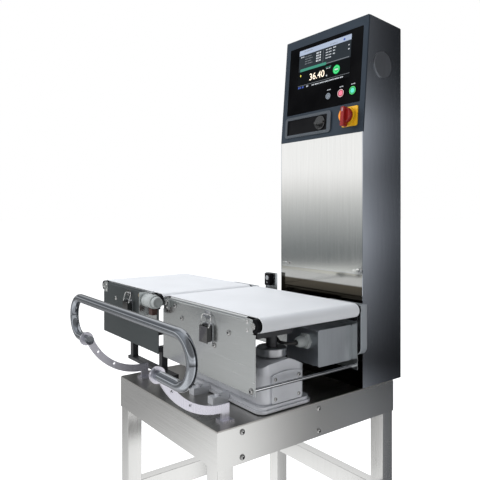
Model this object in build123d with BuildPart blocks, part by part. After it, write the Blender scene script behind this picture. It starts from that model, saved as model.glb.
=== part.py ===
from build123d import *
from math import cos, radians, sin, tan
import os

os.makedirs("parts", exist_ok=True)

# A checkweigher for a packaging line, in millimetres. X runs along the line,
# Y runs to the back, and the origin is on the floor at the centre of the anchors.

# Table frame
FRAME_LENGTH = 466.0
FRAME_DEPTH = 570.0
FRAME_TOP = 600.0
DECK_SHEET = 3.0
APRON_SHEET = 2.0
APRON_HEIGHT = 79.0
LEG_SIZE = 40.0
LEG_WALL = 2.0
LEG_BOTTOM = 60.0
RAIL_BOTTOM = 268.0
RAIL_HEIGHT = 50.0
RAIL_WIDTH = 30.0
BEAM_WIDTH = 40.0
BEAM_HEIGHT = 76.0
BEAM_PLATE = 6.0
BEAM_SPACING = 225.0
BOLT_SPACING = 53.0

# Levelling feet
FOOT_RADIUS = 35.0
FOOT_PLATE = 6.0
FOOT_HUB_RADIUS = 16.0
FOOT_HUB_HEIGHT = 20.0
STEM_RADIUS = 6.0
ANCHOR_OFFSET = 24.0
ANCHOR_RADIUS = 4.5

# Control cabinet
CABINET_WIDTH = 313.0
CABINET_DEPTH = 155.0
CABINET_OVERHANG = 32.0
CABINET_SHEET = 2.0
HEAD_BOTTOM = 1252.5
HEAD_LENGTH = 305.0
HEAD_LEAN = 4.72
ROOF_DROP = 12.5
SEAM_HEIGHT = 889.0
FLANGE = 22.0
COVER_GAP = 0.5
BEZEL = 4.0
GLASS = 2.0
GLASS_LEDGE = 5.0
CAP_RADIUS = 35.0
CAP_BACK = 78.0
CAP_DROP = 123.5
SUPPLY_WIDTH = 160.0
SUPPLY_DEPTH = 50.0
SUPPLY_HEIGHT = 100.0
SUPPLY_LEFT = 70.0
SUPPLY_UP = 420.0

# Positions on the leaning head: across from its middle, up from its lower edge
GLASS_ACROSS = (-138.0, 141.0)
GLASS_UP = (80.0, 280.0)
DISPLAY_ACROSS = (-103.0, 108.0)
DISPLAY_UP = (147.0, 273.0)
KEY_UP = 112.5
MENU_KEY_ACROSS = 29.0
STOP_KEY_ACROSS = 75.0
START_KEY_ACROSS = 116.0
KEY_RADIUS = 9.5
KEY_TRAVEL = 2.0
PORT_ACROSS = (-138.0, 45.0)
PORT_UP = (12.0, 72.0)
PORT_WALL = 8.0
PORT_KNOB_ACROSS = 5.5
PORT_KNOB_RADIUS = 19.0
SWITCH_ACROSS = 112.0
SWITCH_UP = 44.0
SWITCH_PLATE = 52.0
SWITCH_COLLAR_RADIUS = 23.0
SWITCH_KNOB_RADIUS = 20.0

# Conveyors
CONVEYOR_INSET = 84.0
CONVEYOR_WIDTH = 323.0
WEIGH_OVERHANG = 18.0
WEIGH_LENGTH = 398.0
INFEED_LENGTH = 377.0
PLATE_GAP = 28.0
PLATE_CLEARANCE = 58.0
PLATE_HEIGHT = 164.0
PLATE_SHEET = 2.0
PLATE_BEND = 8.0
CORNER_LENGTH = 33.0
CORNER_HEIGHT = 34.0
BELT_PROUD = 2.0
BELT_THICKNESS = 1.7
BELT_SIDE_GAP = 10.0
ROLLER_RADIUS = 15.0
ROLLER_END = 3.0
WEIGH_IDLER_END = 15.0
JOURNAL_RADIUS = 4.0
JOURNAL_FIT = 0.1
RUNNING_GAP = 0.3
TIE_ROD_RADIUS = 6.0
TIE_ROD_DROP = 45.0
DRIVE_RATIO = 1.25
DRIVE_PULLEY_RADIUS = 8.0
TIMING_BELT = 1.6
PULLEY_WIDTH = 10.0
MOTOR_BACK = 65.0
MOTOR_DROP = 83.0
MOTOR_LENGTH = 115.0
MOTOR_WIDTH = 106.0
MOTOR_HEIGHT = 84.0
HOOD_SHEET = 2.0
COVER_DEPTH = 23.0

# Weigh cell
CELL_LENGTH = 334.0
CELL_DEPTH = 160.0
CELL_INSET = 36.0
CELL_STEP = 7.0
CELL_FOOT = 2.0
PLATTER_RADIUS = 36.0
PLATTER_LIFT = 113.0
PLATTER_THICKNESS = 18.0
PLATTER_SEAT = 12.0
PEDESTAL_RADIUS = 13.0
CARRIER_BEAM = 14.0
BODY_FRONT = 98.0
BODY_SHOULDER = 106.0
BODY_TOP = 112.0
BODY_REAR_SHOULDER = 105.0
BODY_REAR = 88.0
PLATTER_LEFT_INSET = 52.0
PLATTER_RIGHT_INSET = 60.0

# Guard
GUARD_RADIUS = 10.65
GUARD_WALL = 1.5
GUARD_END_CAP = 1.5
GUARD_REACH = 116.0
GUARD_HEIGHT = 225.0
LOOP_RADIUS = 48.5
GUARD_RIGHT = 275.5
GUARD_LEFT = -219.5
GUARD_RIGHT_END = 190.0
GUARD_LEFT_END = -158.0
ARM_RIGHT = 195.0
ARM_LEFT = -182.0
ARM_SHEET = 6.0
ARM_WIDTH = 18.0
ARM_RADIUS = 166.0
ARM_BACK = 153.0
ARM_UP = 186.0
ARM_EYE = 6.0
ARM_HOLE_RADIUS = 3.5

# Latches
LATCH_WIDTH = 40.0
LEVER_WIDTH = 34.0
LEVER_LENGTH = 38.0
LEVER_DEPTH = 10.0
BAIL_RADIUS = 1.6
WEIGH_LATCH_BACK = 178.0
INFEED_LATCH_BACK = 182.0

CABLE_RADIUS = 3.5
GLAND_RADIUS = 13.0

# Sizes that follow from these
half_length = FRAME_LENGTH / 2
half_depth = FRAME_DEPTH / 2
deck_bottom = FRAME_TOP - DECK_SHEET
leg_x = half_length - APRON_SHEET - LEG_SIZE / 2
leg_y = half_depth - APRON_SHEET - LEG_SIZE / 2
beam_y = (-half_depth + APRON_SHEET + LEG_SIZE + 2 + BEAM_WIDTH / 2,
          -half_depth + APRON_SHEET + LEG_SIZE + 2 + BEAM_WIDTH / 2 + BEAM_SPACING)
bolt_z = (deck_bottom - BEAM_HEIGHT / 2 - BOLT_SPACING / 2 - 1,
          deck_bottom - BEAM_HEIGHT / 2 + BOLT_SPACING / 2 - 1)

cabinet_right = half_length
cabinet_left = cabinet_right - CABINET_WIDTH
cabinet_middle = (cabinet_left + cabinet_right) / 2
cabinet_back = half_depth + CABINET_OVERHANG
cabinet_front = cabinet_back - CABINET_DEPTH
lean = radians(HEAD_LEAN)
head_top_y = cabinet_front + HEAD_LENGTH * sin(lean)
head_top_z = HEAD_BOTTOM + HEAD_LENGTH * cos(lean)
roof_slope = ROOF_DROP / (cabinet_back - head_top_y)
HEAD = Plane(origin=(cabinet_middle, cabinet_front, HEAD_BOTTOM), x_dir=(1, 0, 0),
             z_dir=(0, -cos(lean), sin(lean)))

front_face = -half_depth + CONVEYOR_INSET
rear_face = front_face + CONVEYOR_WIDTH
front_inner = front_face + PLATE_SHEET
rear_inner = rear_face - PLATE_SHEET
plate_bottom = FRAME_TOP + PLATE_CLEARANCE
plate_top = plate_bottom + PLATE_HEIGHT
belt_top = plate_top + BELT_PROUD
belt_inner_radius = ROLLER_RADIUS + RUNNING_GAP
belt_outer_radius = belt_inner_radius + BELT_THICKNESS
axis_z = belt_top - belt_outer_radius
belt_y = (front_face + BELT_SIDE_GAP, rear_face - BELT_SIDE_GAP)
weigh_x = (half_length + WEIGH_OVERHANG - WEIGH_LENGTH, half_length + WEIGH_OVERHANG)
infeed_x = (weigh_x[0] - PLATE_GAP - INFEED_LENGTH, weigh_x[0] - PLATE_GAP)
weigh_rollers = (weigh_x[0] + WEIGH_IDLER_END, weigh_x[1] - ROLLER_END)
infeed_rollers = (infeed_x[0] + ROLLER_END, infeed_x[1] - ROLLER_END)
conveyors = ((infeed_x, infeed_rollers), (weigh_x, weigh_rollers))
tie_z = plate_top - TIE_ROD_DROP
motor_z = axis_z - MOTOR_DROP
motor_pulley_radius = DRIVE_PULLEY_RADIUS / DRIVE_RATIO
pulley_y = (rear_face + 5, rear_face + 5 + PULLEY_WIDTH)

cell_right = half_length - 8
cell_x = (cell_right - CELL_LENGTH, cell_right)
cell_y = (front_face + CELL_INSET, front_face + CELL_INSET + CELL_DEPTH)
cell_base_bottom = FRAME_TOP + CELL_FOOT
cell_base_top = cell_base_bottom + 2 * CELL_STEP
platter_y = (cell_y[0] + cell_y[1]) / 2 + 2
platter_bottom = FRAME_TOP + PLATTER_LIFT
platter_top = platter_bottom + PLATTER_THICKNESS
platter_x = (cell_x[0] + PLATTER_LEFT_INSET, cell_x[1] - PLATTER_RIGHT_INSET)

guard_y = -half_depth - GUARD_REACH
guard_top = FRAME_TOP + GUARD_HEIGHT
guard_low = guard_top - 2 * LOOP_RADIUS


def block(x, y, z, mode=Mode.ADD):
    """Box between two corners; each axis is given as (low, high)."""
    with Locations(((x[0] + x[1]) / 2, (y[0] + y[1]) / 2, (z[0] + z[1]) / 2)):
        Box(x[1] - x[0], y[1] - y[0], z[1] - z[0], mode=mode)


def rod_x(radius, x, y, z, mode=Mode.ADD):
    """Cylinder along X."""
    with Locations(Location(((x[0] + x[1]) / 2, y, z), (0, 90, 0))):
        Cylinder(radius, x[1] - x[0], mode=mode)


def rod_y(radius, x, y, z, mode=Mode.ADD):
    """Cylinder along Y."""
    with Locations(Location((x, (y[0] + y[1]) / 2, z), (90, 0, 0))):
        Cylinder(radius, y[1] - y[0], mode=mode)


def rod_z(radius, x, y, z, mode=Mode.ADD):
    """Cylinder along Z, or out of the head where the part stands on the head."""
    with Locations((x, y, (z[0] + z[1]) / 2)):
        Cylinder(radius, z[1] - z[0], mode=mode)


def plate_facing_y(points, y, mode=Mode.ADD):
    """Plate with an outline in X and Z, between two values of y."""
    with BuildSketch(Plane.XZ.offset(-y[1])) as outline:
        with BuildLine():
            Polyline(*points, close=True)
        make_face()
    extrude(outline.sketch, amount=y[1] - y[0], mode=mode)


def plate_facing_x(points, x, mode=Mode.ADD):
    """Plate with an outline in Y and Z, between two values of x."""
    with BuildSketch(Plane.YZ.offset(x[0])) as outline:
        with BuildLine():
            Polyline(*points, close=True)
        make_face()
    extrude(outline.sketch, amount=x[1] - x[0], mode=mode)


def rounded_block(x, y, z, corner, mode=Mode.ADD):
    """Box with four upright edges rounded."""
    with BuildSketch(Plane.XY.offset(z[0])) as outline:
        with Locations(((x[0] + x[1]) / 2, (y[0] + y[1]) / 2)):
            RectangleRounded(x[1] - x[0], y[1] - y[0], corner)
    extrude(outline.sketch, amount=z[1] - z[0], mode=mode)


def head_slab(across, up, lift, corner, mode=Mode.ADD):
    """Plate on the head with rounded corners, between two lifts above its face."""
    with BuildSketch(HEAD.offset(lift[0])) as outline:
        with Locations(((across[0] + across[1]) / 2, (up[0] + up[1]) / 2)):
            RectangleRounded(across[1] - across[0], up[1] - up[0], corner)
    extrude(outline.sketch, amount=lift[1] - lift[0], mode=mode)


def head_wall(z, depth):
    """Y of the plane that lies a given depth behind the head's face, at height z."""
    return cabinet_front + (z - HEAD_BOTTOM) * tan(lean) + depth / cos(lean)


def roof(y, depth):
    """Z of the roof at y, a given depth under its outer face."""
    return head_top_z - (y - head_top_y) * roof_slope - depth


def hex_head(across_flats, height, plane):
    """Hexagon standing on a plane."""
    with BuildSketch(plane) as outline:
        RegularPolygon(across_flats / 2, 6, major_radius=False)
    extrude(outline.sketch, amount=height)


# Table frame: legs and lower rails, welded
with BuildPart() as frame_tubes:
    for x in (-leg_x, leg_x):
        for y in (-leg_y, leg_y):
            block((x - LEG_SIZE / 2, x + LEG_SIZE / 2), (y - LEG_SIZE / 2, y + LEG_SIZE / 2),
                  (LEG_BOTTOM, deck_bottom))
            block((x - LEG_SIZE / 2 + LEG_WALL, x + LEG_SIZE / 2 - LEG_WALL),
                  (y - LEG_SIZE / 2 + LEG_WALL, y + LEG_SIZE / 2 - LEG_WALL),
                  (LEG_BOTTOM, deck_bottom), Mode.SUBTRACT)
    rail_z = (RAIL_BOTTOM, RAIL_BOTTOM + RAIL_HEIGHT)
    rail_inner_z = (rail_z[0] + LEG_WALL, rail_z[1] - LEG_WALL)
    for x in (-leg_x, leg_x):
        y = (-leg_y + LEG_SIZE / 2, leg_y - LEG_SIZE / 2)
        block((x - RAIL_WIDTH / 2, x + RAIL_WIDTH / 2), y, rail_z)
        block((x - RAIL_WIDTH / 2 + LEG_WALL, x + RAIL_WIDTH / 2 - LEG_WALL), y, rail_inner_z,
              Mode.SUBTRACT)
    rear_x = (-leg_x + LEG_SIZE / 2, leg_x - LEG_SIZE / 2)
    block(rear_x, (leg_y - RAIL_WIDTH / 2, leg_y + RAIL_WIDTH / 2), rail_z)
    block(rear_x, (leg_y - RAIL_WIDTH / 2 + LEG_WALL, leg_y + RAIL_WIDTH / 2 - LEG_WALL),
          rail_inner_z, Mode.SUBTRACT)
frame_tubes.part.label = "frame_tubes"
export_step(frame_tubes.part, "parts/frame_tubes.step")

# Apron: four sheets round the legs
with BuildPart() as apron_plates:
    apron_z = (deck_bottom - APRON_HEIGHT, deck_bottom)
    for side in (-1, 1):
        y = sorted((side * half_depth, side * (half_depth - APRON_SHEET)))
        block((-half_length, half_length), y, apron_z)
        x = sorted((side * half_length, side * (half_length - APRON_SHEET)))
        block(x, (-half_depth + APRON_SHEET, half_depth - APRON_SHEET), apron_z)
        for y in beam_y:
            for z in bolt_z:
                rod_x(3.3, x, y, z, Mode.SUBTRACT)
apron_plates.part.label = "apron_plates"
export_step(apron_plates.part, "parts/apron_plates.step")

# Deck with the hole for the motor's cable
cable_deck = (50.0, 56.0)
with BuildPart() as deck_plate:
    rounded_block((-half_length, half_length), (-half_depth, half_depth), (deck_bottom, FRAME_TOP), 3)
    rod_z(CABLE_RADIUS + 4, cable_deck[0], cable_deck[1], (deck_bottom, FRAME_TOP), Mode.SUBTRACT)
deck_plate.part.label = "deck_plate"
export_step(deck_plate.part, "parts/deck_plate.step")

# Two cross beams under the deck, with end plates for the apron's bolts
with BuildPart() as deck_beams:
    beam_end = half_length - APRON_SHEET
    beam_z = (deck_bottom - BEAM_HEIGHT, deck_bottom)
    for y in beam_y:
        block((-beam_end, beam_end), (y - BEAM_WIDTH / 2, y + BEAM_WIDTH / 2), beam_z)
        block((-beam_end + BEAM_PLATE, beam_end - BEAM_PLATE),
              (y - BEAM_WIDTH / 2 + LEG_WALL, y + BEAM_WIDTH / 2 - LEG_WALL),
              (beam_z[0] + LEG_WALL, beam_z[1] - LEG_WALL), Mode.SUBTRACT)
        for z in bolt_z:
            for side in (-1, 1):
                x = sorted((side * beam_end, side * (beam_end - BEAM_PLATE)))
                rod_x(3.05, x, y, z, Mode.SUBTRACT)
deck_beams.part.label = "deck_beams"
export_step(deck_beams.part, "parts/deck_beams.step")

# Levelling feet: plate with an anchor hole, stem, lock nut and the leg's threaded plug
plug_thickness = 14.0
plug_lip = 4.0
nut_height = 8.0
with BuildPart() as levelling_feet:
    plug_inner = LEG_SIZE / 2 - LEG_WALL
    nut_top = LEG_BOTTOM - plug_lip
    for x in (-leg_x, leg_x):
        side = 1 if x > 0 else -1
        for y in (-leg_y, leg_y):
            hex_head(19, nut_height, Plane((x, y, nut_top - nut_height)))
            block((x - LEG_SIZE / 2, x + LEG_SIZE / 2), (y - LEG_SIZE / 2, y + LEG_SIZE / 2),
                  (nut_top, LEG_BOTTOM))
            block((x - plug_inner, x + plug_inner), (y - plug_inner, y + plug_inner),
                  (LEG_BOTTOM, LEG_BOTTOM + plug_thickness))
            rod_z(STEM_RADIUS + 0.05, x, y, (0, LEG_BOTTOM + plug_thickness), Mode.SUBTRACT)
            rod_z(FOOT_RADIUS, x, y, (0, FOOT_PLATE))
            with Locations((x, y, FOOT_PLATE)):
                Cone(FOOT_HUB_RADIUS, STEM_RADIUS + 3, FOOT_HUB_HEIGHT - FOOT_PLATE,
                     align=(Align.CENTER, Align.CENTER, Align.MIN))
            rod_z(ANCHOR_RADIUS, x + side * ANCHOR_OFFSET, y, (0, FOOT_PLATE), Mode.SUBTRACT)
            rod_z(STEM_RADIUS, x, y, (FOOT_HUB_HEIGHT, LEG_BOTTOM + plug_thickness + 10))
levelling_feet.part.label = "levelling_feet"
export_step(levelling_feet.part, "parts/levelling_feet.step")

# Cabinet shell: folded sheet with a flange behind the covers and the bezel
sheet = CABINET_SHEET
flange_y = cabinet_front + sheet
inner_y = flange_y + sheet
inner_z = roof_slope * (head_top_y - head_wall(HEAD_BOTTOM, BEZEL + sheet))
inner_z = (head_top_z - 1.005 * sheet + inner_z + HEAD_BOTTOM * roof_slope * tan(lean))
inner_z = inner_z / (1 + roof_slope * tan(lean))
bend_z = HEAD_BOTTOM + (inner_y - head_wall(HEAD_BOTTOM, BEZEL + sheet)) / tan(lean)
catch_z = SEAM_HEIGHT + 9
catch_x = (cabinet_left + 25, cabinet_right - 15)
seam_rail = (SEAM_HEIGHT - 9, SEAM_HEIGHT + 3)
cap_centre = (cabinet_back - CAP_BACK, head_top_z - CAP_DROP)
with BuildPart() as cabinet_shell:
    plate_facing_x([(cabinet_front, FRAME_TOP), (cabinet_back, FRAME_TOP),
                    (cabinet_back, roof(cabinet_back, 0)), (head_top_y, head_top_z),
                    (cabinet_front, HEAD_BOTTOM)], (cabinet_left, cabinet_right))
    back_edges = cabinet_shell.edges().filter_by(Axis.X).group_by(Axis.Y)[-1]
    fillet(back_edges.sort_by(Axis.Z)[-1], 4)
    plate_facing_x([(inner_y, FRAME_TOP + sheet), (cabinet_back - sheet, FRAME_TOP + sheet),
                    (cabinet_back - sheet, roof(cabinet_back - sheet, 1.005 * sheet)),
                    (head_wall(inner_z, BEZEL + sheet), inner_z), (inner_y, bend_z)],
                   (cabinet_left + sheet, cabinet_right - sheet), Mode.SUBTRACT)
    block((cabinet_left + sheet, cabinet_right - sheet), (cabinet_front - 1, flange_y),
          (FRAME_TOP - 1, HEAD_BOTTOM), Mode.SUBTRACT)
    opening_x = (cabinet_left + sheet + FLANGE, cabinet_right - sheet - FLANGE)
    block(opening_x, (cabinet_front - 1, inner_y + 3), (FRAME_TOP + 14, seam_rail[0]), Mode.SUBTRACT)
    block(opening_x, (cabinet_front - 1, inner_y + 3), (seam_rail[1], HEAD_BOTTOM - 40),
          Mode.SUBTRACT)
    for x in catch_x:
        rod_y(6.5, x, (cabinet_front, inner_y + 1), catch_z, Mode.SUBTRACT)
    head_slab((-CABINET_WIDTH, CABINET_WIDTH), (0, HEAD_LENGTH + 20), (-BEZEL, 10), 1, Mode.SUBTRACT)
    head_slab((-CABINET_WIDTH / 2 + 10, CABINET_WIDTH / 2 - 10), (8, HEAD_LENGTH - 12),
              (-BEZEL - 3 * sheet, 10), 1, Mode.SUBTRACT)
    block((cabinet_left + 20, cabinet_right - 20), (cabinet_back - 2 * sheet, cabinet_back + 1),
          (FRAME_TOP + 40, head_top_z - 70), Mode.SUBTRACT)
    rod_x(CAP_RADIUS - 8, (cabinet_right - 2 * sheet, cabinet_right + 1), *cap_centre, Mode.SUBTRACT)
cabinet_shell.part.label = "cabinet_shell"
export_step(cabinet_shell.part, "parts/cabinet_shell.step")

with BuildPart() as rear_cover:
    block((cabinet_left + 14, cabinet_right - 14), (cabinet_back, cabinet_back + sheet),
          (FRAME_TOP + 34, head_top_z - 64))
    fillet(rear_cover.edges().filter_by(Axis.Y), 6)
rear_cover.part.label = "rear_cover"
export_step(rear_cover.part, "parts/rear_cover.step")

with BuildPart() as power_supply:
    block((cabinet_left + SUPPLY_LEFT, cabinet_left + SUPPLY_LEFT + SUPPLY_WIDTH),
          (cabinet_back - SUPPLY_DEPTH, cabinet_back),
          (FRAME_TOP + SUPPLY_UP, FRAME_TOP + SUPPLY_UP + SUPPLY_HEIGHT))
    fillet(power_supply.edges().filter_by(Axis.Y), 2)
power_supply.part.label = "power_supply"
export_step(power_supply.part, "parts/power_supply.step")

with BuildPart() as front_cover:
    block((cabinet_left + sheet + COVER_GAP, cabinet_right - sheet - COVER_GAP),
          (cabinet_front, flange_y), (SEAM_HEIGHT + COVER_GAP, HEAD_BOTTOM - COVER_GAP))
    for x in catch_x:
        rod_y(JOURNAL_RADIUS + JOURNAL_FIT, x, (cabinet_front, flange_y), catch_z, Mode.SUBTRACT)
front_cover.part.label = "front_cover"
export_step(front_cover.part, "parts/front_cover.step")

with BuildPart() as lower_panel:
    block((cabinet_left + sheet + COVER_GAP, cabinet_right - sheet - COVER_GAP),
          (cabinet_front, flange_y), (FRAME_TOP, SEAM_HEIGHT - COVER_GAP))
lower_panel.part.label = "lower_panel"
export_step(lower_panel.part, "parts/lower_panel.step")


def catch(x):
    """Quarter-turn catch: winged head, stem and a cam behind the seam rail."""
    rod_y(6, x, (cabinet_front - 2.3, cabinet_front - RUNNING_GAP), catch_z)
    block((x - 13, x + 13), (cabinet_front - 7, cabinet_front - 2), (catch_z - 2.5, catch_z + 2.5))
    rod_y(JOURNAL_RADIUS, x, (cabinet_front - 2, inner_y + 5), catch_z)
    block((x - 4, x + 4), (inner_y + RUNNING_GAP, inner_y + 3), (catch_z - 14, catch_z + 4))


with BuildPart() as left_catch:
    catch(catch_x[0])
left_catch.part.label = "left_catch"
export_step(left_catch.part, "parts/left_catch.step")

with BuildPart() as right_catch:
    catch(catch_x[1])
right_catch.part.label = "right_catch"
export_step(right_catch.part, "parts/right_catch.step")

with BuildPart() as side_disc:
    rod_x(CAP_RADIUS, (cabinet_right, cabinet_right + 3), *cap_centre)
    fillet(side_disc.edges().filter_by(GeomType.CIRCLE).sort_by(Axis.X)[-1], 1.5)
    rod_x(CAP_RADIUS - 8.1, (cabinet_right - sheet - 4, cabinet_right), *cap_centre)
side_disc.part.label = "side_disc"
export_step(side_disc.part, "parts/side_disc.step")

# Leaning head: bezel, glass, display, controller board
half_head = CABINET_WIDTH / 2
keys = ((MENU_KEY_ACROSS, KEY_RADIUS - 1), (STOP_KEY_ACROSS, KEY_RADIUS), (START_KEY_ACROSS, KEY_RADIUS))
port_opening = (PORT_ACROSS[0] + PORT_WALL + 1.5, PORT_ACROSS[1] - PORT_WALL - 6)
port_opening_up = (PORT_UP[0] + PORT_WALL, PORT_UP[1] - PORT_WALL)
pocket_depth = 30.0
with BuildPart() as head_bezel:
    head_slab((-half_head, half_head), (0, HEAD_LENGTH), (-BEZEL, 0), 2)
    head_slab(GLASS_ACROSS, GLASS_UP, (-GLASS, 0), 3, Mode.SUBTRACT)
    head_slab((GLASS_ACROSS[0] + GLASS_LEDGE, GLASS_ACROSS[1] - GLASS_LEDGE),
              (GLASS_UP[0] + GLASS_LEDGE, GLASS_UP[1] - GLASS_LEDGE), (-BEZEL, 0), 3, Mode.SUBTRACT)
    head_slab((PORT_ACROSS[0] + 3, PORT_ACROSS[1] - 3), (PORT_UP[0] + 3, PORT_UP[1] - 3),
              (-BEZEL, 0), 3, Mode.SUBTRACT)
    head_slab((SWITCH_ACROSS - 12, SWITCH_ACROSS + 12), (SWITCH_UP - 12, SWITCH_UP + 12),
              (-BEZEL, 0), 11, Mode.SUBTRACT)
head_bezel.part.label = "head_bezel"
export_step(head_bezel.part, "parts/head_bezel.step")

with BuildPart(HEAD) as touch_glass:
    head_slab((GLASS_ACROSS[0] + 0.3, GLASS_ACROSS[1] - 0.3), (GLASS_UP[0] + 0.3, GLASS_UP[1] - 0.3),
              (-GLASS, 0), 2.5)
    for across, radius in keys:
        rod_z(radius + RUNNING_GAP, across, KEY_UP, (-GLASS, 0), Mode.SUBTRACT)
touch_glass.part.label = "touch_glass"
export_step(touch_glass.part, "parts/touch_glass.step")

display_back = -GLASS - 14
key_bottom = -5.5
key_guide = key_bottom - KEY_TRAVEL - 0.5
with BuildPart(HEAD) as display_module:
    block(DISPLAY_ACROSS, DISPLAY_UP, (display_back, -GLASS))
    block((MENU_KEY_ACROSS - 14, START_KEY_ACROSS + 14), (KEY_UP - 15, DISPLAY_UP[0] + 8),
          (display_back, key_guide))
    block((DISPLAY_ACROSS[0] + 20, START_KEY_ACROSS + 14), (DISPLAY_UP[0], DISPLAY_UP[0] + 8),
          (display_back, key_guide))
    for across, radius in keys:
        rod_z(3 + JOURNAL_FIT, across, KEY_UP, (display_back, 0), Mode.SUBTRACT)
display_module.part.label = "display_module"
export_step(display_module.part, "parts/display_module.step")

with BuildPart(HEAD) as controller_board:
    board = (display_back - 8, display_back - 6.4)
    board_across = (DISPLAY_ACROSS[0] + 15, DISPLAY_ACROSS[1] - 15)
    board_up = (DISPLAY_UP[0] + 10, DISPLAY_UP[1] - 10)
    block(board_across, board_up, board)
    for across in (board_across[0] + 6, board_across[1] - 6):
        for up in (board_up[0] + 6, board_up[1] - 6):
            rod_z(3, across, up, (board[1], display_back))
    block((board_across[0] + 20, board_across[0] + 60), (board_up[0] + 20, board_up[0] + 60),
          (board[0] - 8, board[0]))
    block((board_across[1] - 70, board_across[1] - 20), (board_up[0] + 20, board_up[0] + 40),
          (board[0] - 12, board[0]))
controller_board.part.label = "controller_board"
export_step(controller_board.part, "parts/controller_board.step")


def key(across, radius):
    """Round key with a stop collar behind the glass and a guided stem."""
    rod_z(radius, across, KEY_UP, (key_bottom, KEY_TRAVEL + 0.4))
    rod_z(radius + 1.5, across, KEY_UP, (key_bottom, -GLASS - RUNNING_GAP))
    rod_z(3, across, KEY_UP, (display_back + 4, key_bottom))


with BuildPart(HEAD) as menu_key:
    key(*keys[0])
menu_key.part.label = "menu_key"
export_step(menu_key.part, "parts/menu_key.step")

with BuildPart(HEAD) as stop_key:
    key(*keys[1])
stop_key.part.label = "stop_key"
export_step(stop_key.part, "parts/stop_key.step")

with BuildPart(HEAD) as start_key:
    key(*keys[2])
start_key.part.label = "start_key"
export_step(start_key.part, "parts/start_key.step")

# Main switch: square plate with a collar, a body behind the bezel and a turning knob
switch_across = (SWITCH_ACROSS - SWITCH_PLATE / 2, SWITCH_ACROSS + SWITCH_PLATE / 2)
switch_up = (SWITCH_UP - SWITCH_PLATE / 2, SWITCH_UP + SWITCH_PLATE / 2)
collar_lift = 13.0
knob_lift = (collar_lift + RUNNING_GAP, 26.0)
with BuildPart(HEAD) as switch_plate:
    head_slab(switch_across, switch_up, (0, 3), 4)
    rod_z(SWITCH_COLLAR_RADIUS, SWITCH_ACROSS, SWITCH_UP, (3, collar_lift))
    rod_z(5, SWITCH_ACROSS, SWITCH_UP, (0, collar_lift), Mode.SUBTRACT)
switch_plate.part.label = "switch_plate"
export_step(switch_plate.part, "parts/switch_plate.step")

with BuildPart(HEAD) as switch_body:
    rod_z(11, SWITCH_ACROSS, SWITCH_UP, (-BEZEL - 4, 0))
    head_slab((SWITCH_ACROSS - 20, SWITCH_ACROSS + 20), (SWITCH_UP - 20, SWITCH_UP + 20),
              (-44, -BEZEL - 4), 3)
    rod_z(3 + JOURNAL_FIT, SWITCH_ACROSS, SWITCH_UP, (-20, 0), Mode.SUBTRACT)
switch_body.part.label = "switch_body"
export_step(switch_body.part, "parts/switch_body.step")

with BuildPart(HEAD) as switch_knob:
    rod_z(SWITCH_KNOB_RADIUS, SWITCH_ACROSS, SWITCH_UP, knob_lift)
    with Locations(Location((SWITCH_ACROSS, SWITCH_UP, knob_lift[1] + 4), (0, 0, 45))):
        Box(2 * SWITCH_KNOB_RADIUS - 2, 10, 8)
    rod_z(3, SWITCH_ACROSS, SWITCH_UP, (-18, knob_lift[0]))
switch_knob.part.label = "switch_knob"
export_step(switch_knob.part, "parts/switch_knob.step")

# Port pocket with a hinged door and its round knob
pin_radius = 1.2
door_axis = (port_opening[0] + 3.0, 2.0)
with BuildPart(HEAD) as port_frame:
    head_slab(PORT_ACROSS, PORT_UP, (0, 4), 10)
    head_slab((PORT_ACROSS[0] + 3.3, PORT_ACROSS[1] - 3.3), (PORT_UP[0] + 3.3, PORT_UP[1] - 3.3),
              (-pocket_depth, 0), 2)
    head_slab(port_opening, port_opening_up, (-pocket_depth + 2, 4), 1, Mode.SUBTRACT)
    with Locations(Location((door_axis[0], (PORT_UP[0] + PORT_UP[1]) / 2, door_axis[1]), (90, 0, 0))):
        Cylinder(pin_radius + JOURNAL_FIT, port_opening_up[1] - port_opening_up[0] + 7,
                 mode=Mode.SUBTRACT)
port_frame.part.label = "port_frame"
export_step(port_frame.part, "parts/port_frame.step")

port_middle = (PORT_UP[0] + PORT_UP[1]) / 2
door_up = (port_opening_up[0] + 0.5, port_opening_up[1] - 0.5)
with BuildPart(HEAD) as port_door:
    block((door_axis[0], port_opening[1] - 0.5), door_up, (door_axis[1] - 3, door_axis[1]))
    with Locations(Location((door_axis[0], port_middle, door_axis[1]), (90, 0, 0))):
        Cylinder(2.2, door_up[1] - door_up[0])
        Cylinder(pin_radius, port_opening_up[1] - port_opening_up[0] + 6)
    rod_z(3 + JOURNAL_FIT, PORT_KNOB_ACROSS, port_middle, (door_axis[1] - 4, door_axis[1] + 1),
          Mode.SUBTRACT)
port_door.part.label = "port_door"
export_step(port_door.part, "parts/port_door.step")

with BuildPart(HEAD) as port_knob:
    rod_z(PORT_KNOB_RADIUS, PORT_KNOB_ACROSS, port_middle,
          (door_axis[1] + RUNNING_GAP, door_axis[1] + 4))
    block((PORT_KNOB_ACROSS - PORT_KNOB_RADIUS + 2, PORT_KNOB_ACROSS + PORT_KNOB_RADIUS - 2),
          (port_middle - 3, port_middle + 3), (door_axis[1] + 4, door_axis[1] + 9))
    rod_z(3, PORT_KNOB_ACROSS, port_middle, (door_axis[1] - 6, door_axis[1] + 1))
    rod_z(7, PORT_KNOB_ACROSS, port_middle, (door_axis[1] - 6, door_axis[1] - 3 - RUNNING_GAP))
port_knob.part.label = "port_knob"
export_step(port_knob.part, "parts/port_knob.step")


# Conveyors
def corner_blocks(x, z, y):
    """Cuts for the bearing blocks at the two upper corners of a side plate."""
    block((x[0] - 1, x[0] + CORNER_LENGTH), y, (z - CORNER_HEIGHT, z + 1), Mode.SUBTRACT)
    block((x[1] - CORNER_LENGTH, x[1] + 1), y, (z - CORNER_HEIGHT, z + 1), Mode.SUBTRACT)


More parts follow.
